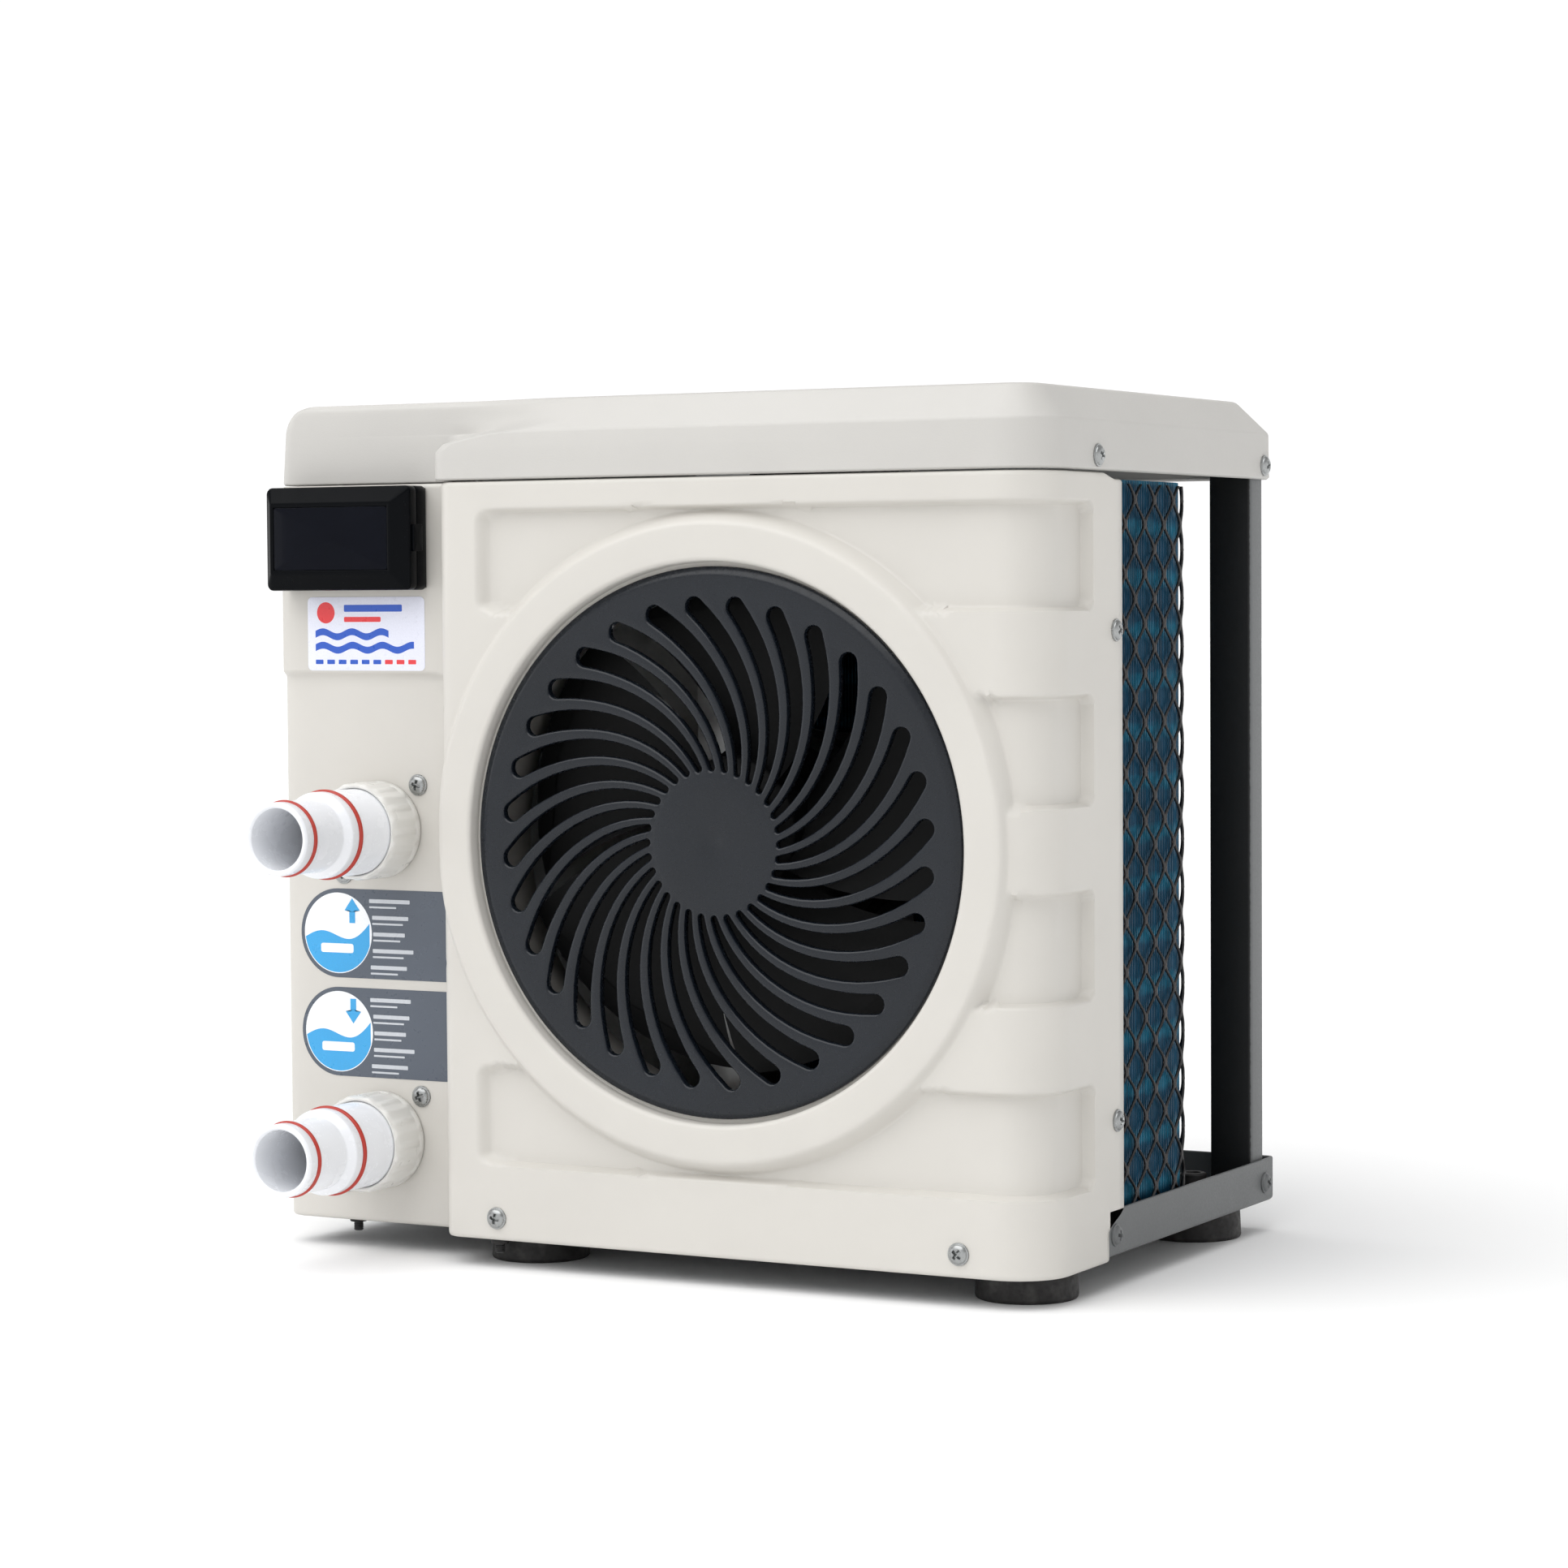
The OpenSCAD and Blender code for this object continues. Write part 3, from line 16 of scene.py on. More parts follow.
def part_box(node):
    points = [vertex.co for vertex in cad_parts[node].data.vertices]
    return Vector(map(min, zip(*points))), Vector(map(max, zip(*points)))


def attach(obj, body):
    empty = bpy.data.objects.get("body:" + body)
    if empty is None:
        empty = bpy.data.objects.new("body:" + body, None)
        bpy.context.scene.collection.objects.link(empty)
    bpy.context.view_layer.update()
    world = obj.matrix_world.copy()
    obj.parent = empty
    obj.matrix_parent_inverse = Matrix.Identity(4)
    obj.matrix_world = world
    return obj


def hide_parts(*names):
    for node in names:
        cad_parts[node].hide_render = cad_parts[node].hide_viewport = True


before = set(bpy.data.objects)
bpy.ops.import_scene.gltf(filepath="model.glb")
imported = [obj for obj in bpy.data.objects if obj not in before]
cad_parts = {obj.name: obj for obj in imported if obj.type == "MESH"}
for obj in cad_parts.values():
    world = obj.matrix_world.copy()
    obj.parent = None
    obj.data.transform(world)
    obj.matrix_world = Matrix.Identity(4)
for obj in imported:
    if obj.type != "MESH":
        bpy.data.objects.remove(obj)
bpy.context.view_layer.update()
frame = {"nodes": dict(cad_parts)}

bl_info = {
    "name": "Pool heat pump",
    "version": (1, 0, 0),
    "blender": (4, 5, 0),
    "location": "View3D > Sidebar > Heat pump",
    "description": "Builds the finished surfaces and materials of a compact pool heat pump",
    "category": "Add Mesh",
}

MM = 0.001
RING_PROUD = 3.0
PANEL_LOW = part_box("front_panel")[0]
ORIGIN = np.array([PANEL_LOW.x, PANEL_LOW.y + RING_PROUD * MM, 0.0])
TURN = 2 * math.pi
RANGE_SOCKETS = ("From Min", "From Max", "To Min", "To Max")


# ---- sizes from the frame ----
def span(node):
    """Lowest and highest corner of a CAD node, in case millimetres."""
    low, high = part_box(node)
    return (np.array(low) - ORIGIN) / MM, (np.array(high) - ORIGIN) / MM


def middle(node):
    """Middle of a CAD node's box, in case millimetres."""
    low, high = span(node)
    return (low + high) / 2


# ---- curves ----
def smooth(t):
    """Smooth step: 3t^2 - 2t^3 between 0 and 1, level outside."""
    t = np.clip(t, 0.0, 1.0)
    return t * t * (3 - 2 * t)


def lower_of(a, b, blend):
    """The lower of two heights, with a round of about the blend's width where they cross."""
    h = np.clip(0.5 + 0.5 * (b - a) / blend, 0.0, 1.0)
    return b + (a - b) * h - blend * h * (1 - h)


def fillet(points, radii, steps=5, closed=False):
    """Rounds the corners of a flat path: each corner becomes an arc that touches both of its sides."""
    p = np.asarray(points, float)
    n = len(p)
    radii = np.broadcast_to(np.asarray(radii, float), (n,))
    runs = []
    for i in range(n):
        if (not closed and i in (0, n - 1)) or radii[i] <= 0:
            runs.append(p[i:i + 1])
            continue
        a, b = p[i - 1] - p[i], p[(i + 1) % n] - p[i]
        la, lb = np.linalg.norm(a), np.linalg.norm(b)
        a, b = a / la, b / lb
        half = 0.5 * math.acos(float(np.clip(a @ b, -0.999999, 0.999999)))
        reach = min(radii[i] / math.tan(half), 0.48 * la, 0.48 * lb)
        r = reach * math.tan(half)
        centre = p[i] + (a + b) / np.linalg.norm(a + b) * r / math.sin(half)
        v0, v1 = p[i] + a * reach - centre, p[i] + b * reach - centre
        t0 = math.atan2(v0[1], v0[0])
        sweep = (math.atan2(v1[1], v1[0]) - t0 + math.pi) % TURN - math.pi
        t = t0 + sweep * np.linspace(0, 1, steps + 1)
        runs.append(centre + r * np.stack([np.cos(t), np.sin(t)], 1))
    return np.vstack(runs)


def rect(x0, x1, y0, y1, r, steps=5):
    """Rounded rectangle, as a function of how far it is drawn in."""
    def outline(inset=0.0):
        corners = [(x0 + inset, y0 + inset), (x1 - inset, y0 + inset), (x1 - inset, y1 - inset),
                   (x0 + inset, y1 - inset)]
        return fillet(corners, max(r - inset, 0.05), steps, closed=True)
    return outline


def disc(x, y, r, n=48):
    """Circle, as a function of how far it is drawn in."""
    t = np.linspace(0, TURN, n, endpoint=False)
    return lambda inset=0.0: np.stack([x + (r - inset) * np.cos(t), y + (r - inset) * np.sin(t)], 1)


class PlanPath:
    """A path in plan: its points and outward normals as functions of the distance along it."""

    def __init__(self, corners, radii, step=0.25):
        p = fillet(corners, radii, 24)
        keep = np.r_[True, np.linalg.norm(np.diff(p, axis=0), axis=1) > 1e-6]
        p = p[keep]
        along = np.r_[0, np.cumsum(np.linalg.norm(np.diff(p, axis=0), axis=1))]
        self.u = np.linspace(0, along[-1], int(along[-1] / step) + 1)
        self.x = np.interp(self.u, along, p[:, 0])
        self.y = np.interp(self.u, along, p[:, 1])
        tx, ty = np.gradient(self.x, self.u), np.gradient(self.y, self.u)
        size = np.hypot(tx, ty)
        self.nx, self.ny = ty / size, -tx / size

    def at(self, u):
        """(x, y, normal x, normal y) at the distances u."""
        return tuple(np.interp(u, self.u, f) for f in (self.x, self.y, self.nx, self.ny))


# ---- patches: (points, faces, material number) ----
def grid(points, wrap_u=False, wrap_v=False, mat=0):
    """A patch over points[i, j]: every square of four neighbours is one face."""
    p = np.asarray(points, float)
    nu, nv = p.shape[:2]
    rows, columns = np.arange(nu if wrap_u else nu - 1), np.arange(nv if wrap_v else nv - 1)
    i, j = np.meshgrid(rows, columns, indexing="ij")
    i2, j2 = (i + 1) % nu, (j + 1) % nv
    quads = np.stack([i * nv + j, i2 * nv + j, i2 * nv + j2, i * nv + j2], -1).reshape(-1, 4)
    return p.reshape(-1, 3), quads, mat


def solid(loops, mat=0):
    """A closed solid through a row of loops, with a flat fan of faces at each end."""
    loops = np.asarray(loops, float)
    ends = [np.repeat(loop.mean(0)[None, None], loops.shape[1], 1) for loop in (loops[0], loops[-1])]
    return grid(np.concatenate([ends[0], loops, ends[1]]), wrap_v=True, mat=mat)


def slab(outline, low, high, edge=0.4, axis=1, mat=0, steps=3):
    """A solid of one outline from low to high along an axis. Near each end the outline is drawn in along
    a quarter circle, which rounds the rim."""
    t = np.linspace(0, math.pi / 2, steps + 1)
    inset, rise = edge * (1 - np.sin(t)), edge * (1 - np.cos(t))
    levels = np.r_[low + rise, (high - rise)[::-1]]
    insets = np.r_[inset, inset[::-1]]
    return solid([np.insert(outline(i), axis, level, axis=1) for level, i in zip(levels, insets)], mat)


def lathe(profile, x, other, axis="y", n=96, mat=0, closed=True, start=0.0):
    """A profile of (radius, place along the axis) turned round an axis."""
    p = np.asarray(profile, float)
    t = start + np.linspace(0, TURN, n, endpoint=False)
    a, b = p[:, :1] * np.cos(t), p[:, :1] * np.sin(t)
    s = p[:, 1:] + 0 * t
    points = [x + a, s, other + b] if axis == "y" else [x + a, other + b, s]
    return grid(np.stack(points, -1), wrap_u=closed, wrap_v=True, mat=mat)


def copies(patch, turns, shifts):
    """One patch copied by rotation matrices and shifts: point p becomes R p + s."""
    points, faces, mat = patch
    turns, shifts = np.asarray(turns, float), np.asarray(shifts, float)
    moved = np.einsum("kij,nj->kni", turns, points) + shifts[:, None]
    steps = np.arange(len(shifts))[:, None, None] * len(points)
    return moved.reshape(-1, 3), (faces[None] + steps).reshape(-1, faces.shape[1]), mat


def ring_of(patch, count, x, z):
    """A patch copied evenly round an axis that runs front to back through (x, z)."""
    angles = np.arange(count) * TURN / count
    c, q, o = np.cos(angles), np.sin(angles), np.zeros(count)
    turns = np.stack([np.stack([c, o, -q], 1), np.stack([o, o + 1, o], 1), np.stack([q, o, c], 1)], 1)
    return copies(patch, turns, np.tile([x, 0, z], (count, 1)))


def towards(patch, direction):
    """The patch with its faces turned, if needed, so that their sum points along a direction."""
    points, faces, mat = patch
    a, b, c = points[faces[:, 0]], points[faces[:, 1]], points[faces[:, 2]]
    total = np.cross(b - a, c - a).sum(0)
    return (points, faces if total @ np.asarray(direction, float) > 0 else faces[:, ::-1], mat)


def put(name, patches, materials, body, slot, nodes=(), sharp=38, closed=True):
    """Makes one mesh object from patches, welds their seams and poles, and rides it on its body."""
    points, faces, numbers, base = [], [], [], 0
    for p, f, mat in patches:
        points.append(p)
        faces += (f + base).tolist()
        numbers.append(np.full(len(f), mat, np.int32))
        base += len(p)
    mesh = bpy.data.meshes.new(name)
    mesh.from_pydata((np.vstack(points) * MM + ORIGIN).tolist(), [], faces)
    mesh.polygons.foreach_set("material_index", np.concatenate(numbers))
    for material in materials:
        mesh.materials.append(material)
    bm = bmesh.new()
    bm.from_mesh(mesh)
    bmesh.ops.remove_doubles(bm, verts=bm.verts, dist=2e-6)
    bmesh.ops.dissolve_degenerate(bm, dist=1e-7, edges=bm.edges)
    if closed:
        bmesh.ops.recalc_face_normals(bm, faces=bm.faces)
    bm.to_mesh(mesh)
    bm.free()
    mesh.shade_smooth()
    mesh.set_sharp_from_angle(angle=math.radians(sharp))
    piece = bpy.data.objects.new(name, mesh)
    bpy.context.scene.collection.objects.link(piece)
    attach(piece, body)
    if nodes:
        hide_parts(*nodes)
    return piece


def shell(piece, thickness):
    """Gives a sheet its wall, behind the face that shows."""
    wall = piece.modifiers.new("Wall", "SOLIDIFY")
    wall.thickness = thickness * MM
    wall.offset = -1


# ---- materials ----
def linear(red, green, blue):
    """A screen colour of 0 to 255 as linear light."""
    c = np.array([red, green, blue]) / 255
    return tuple(float(x) for x in np.where(c <= 0.04045, c / 12.92, ((c + 0.055) / 1.055) ** 2.4))


class Finish:
    """A node material under construction, all on object coordinates."""

    def __init__(self, name, **constants):
        self.material = bpy.data.materials.new(name)
        self.material.use_nodes = True
        self.nodes = self.material.node_tree.nodes
        self.links = self.material.node_tree.links
        self.shader = self.nodes["Principled BSDF"]
        for socket, value in constants.items():
            self.shader.inputs[socket.replace("_", " ")].default_value = value
        self.place = self.nodes.new("ShaderNodeTexCoord").outputs["Object"]

    def scaled(self, stretch):
        node = self.nodes.new("ShaderNodeMapping")
        node.inputs["Scale"].default_value = stretch
        self.links.new(self.place, node.inputs["Vector"])
        return node.outputs["Vector"]

    def noise(self, size_mm, detail=3.0, stretch=None):
        """Noise whose blotches are about size_mm across, drawn out where stretch is below 1."""
        node = self.nodes.new("ShaderNodeTexNoise")
        node.inputs["Scale"].default_value = 1 / (size_mm * MM)
        node.inputs["Detail"].default_value = detail
        self.links.new(self.scaled(stretch) if stretch else self.place, node.inputs["Vector"])
        return node.outputs["Fac"]

    def cells(self, size_mm):
        """Distance to the nearest of many scattered points, about size_mm apart."""
        node = self.nodes.new("ShaderNodeTexVoronoi")
        node.inputs["Scale"].default_value = 1 / (size_mm * MM)
        self.links.new(self.place, node.inputs["Vector"])
        return node.outputs["Distance"]

    def axis(self, name):
        node = self.nodes.new("ShaderNodeSeparateXYZ")
        self.links.new(self.place, node.inputs["Vector"])
        return node.outputs[name]

    def maths(self, operation, a, b=0.0, c=0.0):
        node = self.nodes.new("ShaderNodeMath")
        node.operation = operation
        for socket, value in zip(node.inputs, (a, b, c)):
            if isinstance(value, bpy.types.NodeSocket):
                self.links.new(value, socket)
            else:
                socket.default_value = value
        return node.outputs[0]

    def ranged(self, source, low, high, out_low, out_high):
        node = self.nodes.new("ShaderNodeMapRange")
        self.links.new(source, node.inputs["Value"])
        for socket, value in zip(RANGE_SOCKETS, (low, high, out_low, out_high)):
            node.inputs[socket].default_value = value
        return node.outputs["Result"]

    def blend(self, share, first, second):
        node = self.nodes.new("ShaderNodeMix")
        node.data_type = "RGBA"
        self.links.new(share, node.inputs[0])
        for socket, value in ((node.inputs[6], first), (node.inputs[7], second)):
            if isinstance(value, bpy.types.NodeSocket):
                self.links.new(value, socket)
            else:
                socket.default_value = (*value[:3], 1)
        return node.outputs[2]

    def colour(self, socket):
        self.links.new(socket, self.shader.inputs["Base Color"])

    def roughness(self, socket):
        self.links.new(socket, self.shader.inputs["Roughness"])

    def bump(self, height, depth_mm, strength=0.5):
        node = self.nodes.new("ShaderNodeBump")
        node.inputs["Strength"].default_value = strength
        node.inputs["Distance"].default_value = depth_mm * MM
        self.links.new(height, node.inputs["Height"])
        self.links.new(node.outputs["Normal"], self.shader.inputs["Normal"])


def shaded(colour, factor):
    """A colour made lighter or darker."""
    return tuple(min(1.0, c * factor) for c in colour)


def moulded(name, colour, rough=0.42, grain=0.6, depth=0.03, tint=0.03, strength=0.35, **constants):
    """Moulded plastic: slow shade changes, fine grain in its gloss and a shallow spark-eroded texture."""
    f = Finish(name, **constants)
    cloud = f.ranged(f.noise(55, 4), 0.35, 0.65, 0, 1)
    f.colour(f.blend(cloud, shaded(colour, 1 - tint), shaded(colour, 1 + tint)))
    fine = f.noise(grain, 4)
    f.roughness(f.ranged(fine, 0.3, 0.7, rough - 0.05, rough + 0.07))
    f.bump(fine, depth, strength)
    return f.material


def gloss(name, colour, rough=0.16, tint=0.05, **constants):
    """Polished plastic: long faint ripples of the mould and a few dull specks."""
    f = Finish(name, **constants)
    f.colour(f.blend(f.noise(30, 3), shaded(colour, 1 - tint), shaded(colour, 1 + tint)))
    specks = f.ranged(f.cells(2.2), 0.0, 0.25, 0.1, 0)
    f.roughness(f.maths("ADD", f.ranged(f.noise(9, 5), 0.35, 0.65, rough - 0.03, rough + 0.05), specks))
    f.bump(f.noise(14, 2), 0.02, 0.25)
    return f.material


def sheet_metal(name, colour, rough, metal, stretch=(1, 1, 0.06), grain=1.2, depth=0.01, tint=0.1):
    """Rolled or coated sheet: fine lines along the roll, soft clouds, and uneven gloss."""
    f = Finish(name, Metallic=metal)
    lines = f.noise(grain, 4, stretch)
    cloud = f.noise(26, 4)
    share = f.maths("MULTIPLY_ADD", lines, 0.5, f.maths("MULTIPLY", cloud, 0.5))
    f.colour(f.blend(f.ranged(share, 0.35, 0.65, 0, 1), shaded(colour, 1 - tint), shaded(colour, 1 + tint)))
    f.roughness(f.ranged(lines, 0.3, 0.7, rough - 0.08, rough + 0.1))
    f.bump(lines, depth, 0.3)
    return f.material


def rubbery(name, colour, rough=0.62, dust=(0.2, 0.19, 0.18), dusty=0.18):
    """Rubber: matt skin with fine pores and a trace of pale dust."""
    f = Finish(name)
    share = f.ranged(f.noise(7, 6), 0.5, 0.8, 0, dusty)
    f.colour(f.blend(share, colour, dust))
    pores = f.cells(0.9)
    f.roughness(f.ranged(f.noise(2.5, 4), 0.3, 0.7, rough - 0.1, rough + 0.12))
    f.bump(pores, 0.04, 0.25)
    return f.material


def copper_tube(name):
    """Drawn copper: brown tarnish over bright metal, with fine lines."""
    f = Finish(name, Metallic=1.0)
    tarnish = f.ranged(f.noise(12, 6), 0.4, 0.7, 0, 1)
    f.colour(f.blend(tarnish, (0.76, 0.37, 0.21), (0.3, 0.14, 0.08)))
    f.roughness(f.ranged(tarnish, 0, 1, 0.22, 0.5))
    f.bump(f.noise(0.8, 3), 0.01, 0.3)
    return f.material


def coated_fins(name, deep, light, row_pitch, row_start):
    """Blue coated fins: deep blue, with a painted sheen as a lighter band at every tube row, and fine upright
    streaks that make the blue lighter and darker.
    """
    f = Finish(name, Metallic=0.55, Roughness=0.36)
    height = f.maths("SUBTRACT", f.axis("Z"), row_start * MM)
    wave = f.maths("COSINE", f.maths("MULTIPLY", height, TURN / (row_pitch * MM)))
    wobble = f.ranged(f.noise(9, 4, (1, 1, 2.5)), 0.35, 0.65, -0.25, 0.25)
    # painted sheen: band is 1 along each tube row, where the fins are painted a lighter blue
    band = f.ranged(f.maths("ADD", wave, wobble), 0.25, 1.1, 0, 1)
    streak = f.ranged(f.noise(2.2, 3, (1, 1, 0.05)), 0.3, 0.7, 0.6, 1.25)
    tone = f.blend(band, deep, light)
    node = f.nodes.new("ShaderNodeVectorMath")
    node.operation = "SCALE"
    f.links.new(tone, node.inputs[0])
    f.links.new(streak, node.inputs["Scale"])
    f.colour(node.outputs[0])
    f.bump(f.noise(0.7, 3, (1, 1, 0.1)), 0.05, 0.4)
    return f.material


def board_mask(name):
    """Solder mask with copper tracks that show through as lighter squares and lines."""
    f = Finish(name, Roughness=0.35)
    node = f.nodes.new("ShaderNodeTexBrick")
    node.inputs["Scale"].default_value = 180
    node.inputs["Color1"].default_value = (0.02, 0.12, 0.06, 1)
    node.inputs["Color2"].default_value = (0.03, 0.17, 0.09, 1)
    node.inputs["Mortar"].default_value = (0.10, 0.26, 0.12, 1)
    f.links.new(f.place, node.inputs["Vector"])
    f.colour(node.outputs["Color"])
    f.bump(node.outputs["Fac"], 0.05, 0.3)
    return f.material


# ---- sizes and colours ----
def size(name, description, millimetres):
    return FloatProperty(name=name, description=description, default=millimetres * MM, subtype="DISTANCE",
                         unit="LENGTH")


def tone(name, description, red, green, blue):
    return FloatVectorProperty(name=name, description=description, default=linear(red, green, blue),
                               subtype="COLOR", size=3, min=0.0, max=1.0)


class PumpSizes(bpy.types.PropertyGroup):
    """Details of the pieces that the frame doesn't hold."""
    window_depth: size("Window depth", "Depth of the recessed windows", 5)
    window_wall: size("Window wall", "Width of the sloping wall round each window", 2.0)
    window_corner: size("Window corner", "Corner radius of the windows", 6)
    window_wrap: size("Window wrap", "How far back the windows reach on the side", 47)
    ring_radius: size("Ring radius", "Outer radius of the flat face of the fan ring", 131)
    ring_slope: size("Ring slope", "Width of the slope round the ring", 5)
    pad_depth: size("Pad depth", "How far the upper pad stands proud", 3)
    pad_corner: size("Pad corner", "Radius where the pad's lower edge turns down", 14)
    wall: size("Wall", "Wall thickness of the front panel", 2.6)
    cover_wall: size("Cover wall", "Wall thickness of the top cover", 2.2)
    slot_count: IntProperty(name="Slots", description="Number of slots in the grille", default=32, min=8)
    blade_count: IntProperty(name="Blades", description="Number of fan blades", default=5, min=2)
    fin_pitch: size("Fin pitch", "Spacing of the coil's fins", 1.75)
    row_pitch: size("Tube pitch", "Spacing of the coil's tube rows", 21)
    net_pitch: size("Net pitch", "Spacing of the net's strands", 10)
    knot_pitch: size("Knot pitch", "Height between knots on one strand", 10.2)


class PumpColours(bpy.types.PropertyGroup):
    """Colours of the main finishes."""
    body: tone("Body", "Front panel", 204, 201, 195)
    # darker than the body: partly the cover's own grey, and partly painted shade that offsets the stronger
    # light on its top
    cover: tone("Cover", "Top cover", 193, 191, 187)
    grille: tone("Grille", "Fan grille", 19, 24, 31)
    frame: tone("Frame", "Base tray and rear post", 106, 108, 109)
    fin_deep: tone("Fin, deep", "Coil fins between tube rows", 6, 70, 98)
    # painted sheen: the lighter blue of the fins along each tube row
    fin_painted_sheen: tone("Fin, light", "Coil fins at the tube rows", 16, 106, 134)
    seal: tone("Seal", "Sealing rings", 178, 48, 34)
    label: tone("Label", "Flow labels", 78, 86, 98)
    water: tone("Water", "Water on the flow labels", 50, 160, 220)
    accent: tone("Accent", "Sun on the name label", 226, 52, 58)
    ink: tone("Ink", "Waves on the name label", 22, 82, 190)


class PumpStage(bpy.types.PropertyGroup):
    """Camera and light."""
    lens: FloatProperty(name="Lens", description="Focal length on a 36 mm sensor, in mm", default=93.68)
    azimuth: FloatProperty(name="Azimuth", description="Where the camera stands round the pump",
                           default=math.radians(28.42), subtype="ANGLE", unit="ROTATION")
    pitch: FloatProperty(name="Pitch", description="How far the camera looks down",
                         default=math.radians(2.712), subtype="ANGLE", unit="ROTATION")
    roll: FloatProperty(name="Roll", description="How far the camera leans",
                        default=math.radians(-0.397), subtype="ANGLE", unit="ROTATION")
    place: FloatVectorProperty(name="Place", description="Where the camera stands",
                               default=(0.8549, -1.5423, 0.2848), subtype="TRANSLATION", unit="LENGTH")
    surround: FloatProperty(name="Surround", description="Strength of the surround at the horizon",
                            default=1.06)
    dome: FloatProperty(name="Dome", description="Strength of the surround overhead", default=0.5)
    key: FloatProperty(name="Key light", description="Strength of the key light", default=2.4)
    key_from: FloatVectorProperty(name="Key from", description="Where the key light comes from",
                                  default=(-0.18, -0.42, 0.89), subtype="DIRECTION")
    rim: FloatProperty(name="Left light", description="Power of the light at the left", default=1.0)


def sizes():
    return bpy.context.scene.pump_sizes


def colours():
    return bpy.context.scene.pump_colours


def in_mm(value):
    return value / MM


# ---- front panel ----
# each window's left edge, and how far its lower and upper edges lie below the seam
WINDOWS_BELOW_SEAM = ((114.0, 56.0, 12.0), (112.0, 288.4, 245.5), (227.3, 134.0, 89.0), (227.3, 212.2, 167.0))
PAD_BELOW_SEAM = 82.0
STEP_X = 94.5
STEP_CORNER = 8.0
RIGHT_CORNER = 23.0
FACE_Y = 20.0
JOIN_R = 141.0   # the plain grid ends and the ring's polar grid starts at this radius
JOIN_N = 400


class PanelForm:
    """The front panel as one sheet: a point is C(u) - N(u) d(u, z), where C and N are the plan outline and
    its outward normal, u is the distance along it, and d is how deep the surface lies behind the outline."""

    def __init__(self, s):
        low, high = span("front_panel")
        self.z0, self.back = low[2], high[1]
        self.seam = span("top_cover")[0][2]
        self.z1 = self.seam - 0.5
        self.width = high[0]
        self.fan = middle("fan_grille")[[0, 2]]
        self.s = s
        corners = [(0, self.back), (0, FACE_Y), (STEP_X, FACE_Y), (STEP_X, 0), (self.width, 0),
                   (self.width, self.back)]
        self.path = PlanPath(corners, [0, 8, 5, STEP_CORNER, RIGHT_CORNER, 0])
        p = self.path
        front = np.argmin(np.abs(p.x - 200) + np.abs(p.y))
        p.u = p.u + (p.x[front] - p.u[front])
        self.u_left, self.u_right = p.u[0], p.u[-1]
        self.arc_left = STEP_X + STEP_CORNER - STEP_CORNER * math.pi / 2
        self.arc_right = self.width - RIGHT_CORNER + RIGHT_CORNER * math.pi / 2
        self.across = np.where(p.u < self.arc_left, STEP_X - (self.arc_left - p.u),
                               np.where(p.u > self.arc_right, self.width + (p.u - self.arc_right), p.x))

    def across_at(self, u):
        """The place across the front that u has: x on the front, and carried on evenly round the sides."""
        return np.interp(u, self.path.u, self.across)

    def along_at(self, x):
        return np.interp(x, self.across, self.path.u)

    def windows(self, u, z):
        """Depth of the windows: a smooth step over the signed distance to each rounded rectangle."""
        s, total = self.s, 0.0
        wrap = self.arc_right + in_mm(s.window_wrap) - RIGHT_CORNER
        corner = in_mm(s.window_corner)
        for left, low, high in WINDOWS_BELOW_SEAM:
            z0, z1 = self.seam - low, self.seam - high
            qu = np.abs(u - (left + wrap) / 2) - ((wrap - left) / 2 - corner)
            qz = np.abs(z - (z0 + z1) / 2) - ((z1 - z0) / 2 - corner)
            out = np.hypot(np.maximum(qu, 0), np.maximum(qz, 0)) + np.minimum(np.maximum(qu, qz), 0) - corner
            wall = in_mm(s.window_wall) * (1 + 2.2 * smooth((left + 12 - u) / 9))
            total = total + in_mm(s.window_depth) * smooth(-out / wall)
        return total

    def pad(self, u, z):
        """How far the upper pad stands out: a smooth step over the distance to its curved lower edge, which
        fades out up the step's wall and round the left corner."""
        r = in_mm(self.s.pad_corner)
        edge_u = self.arc_left - (FACE_Y - STEP_CORNER) + 1
        edge_z = self.seam - PAD_BELOW_SEAM
        qu, qz = u - (edge_u - r), z - (edge_z - r)
        out = np.hypot(np.maximum(qu, 0), np.maximum(qz, 0)) + np.minimum(np.maximum(qu, qz), 0) - r
        fade = 1 - smooth((u - edge_u - 1) / (FACE_Y - STEP_CORNER))
        fade = fade * smooth((u - self.u_left - (self.back - FACE_Y - 8)) / 12.6)
        return in_mm(self.s.pad_depth) * smooth(out / 2.6 + 0.5) * fade

    def depth(self, u, z, r):
        s = self.s
        plain = self.windows(u, z) - self.pad(u, z)
        soft = 0.6
        rise = (RING_PROUD + in_mm(s.window_depth)) / in_mm(s.ring_slope)
        bend = np.clip((r - in_mm(s.ring_radius)) / soft, -30, 30)
        ring = -RING_PROUD + rise * soft * np.logaddexp(0, bend)
        depth = lower_of(plain, ring, 0.9)
        for edge in (z - self.z0, self.z1 - z):
            t = np.clip(1 - edge / 1.6, 0, 1)
            depth = depth + 1.4 * (1 - np.sqrt(1 - t * t))
        return depth

    def points(self, u, z, r=None):
        """Points of the sheet, with the flanges' rear edge and upper rear corner trimmed."""
        u, z = np.broadcast_arrays(np.asarray(u, float), np.asarray(z, float))
        if r is None:
            r = np.hypot(self.across_at(u) - self.fan[0], z - self.fan[1])
        x, y, nx, ny = self.path.at(u)
        d = self.depth(u, z, r)
        x, y = x - nx * d, y - ny * d
        side = smooth((y - 50) / 2)
        rear = self.back - 15 * (1 - smooth((z - 24) / 9))
        y = np.where(side > 0, 50 + (y - 50) * (1 + ((rear - 50) / (self.back - 50) - 1) * side), y)
        notch = 2.5 * smooth((y - 62.5) / 3) * np.clip((z - (self.z1 - 20)) / 20, 0, 1)
        return np.stack([x, y, z - notch], -1)


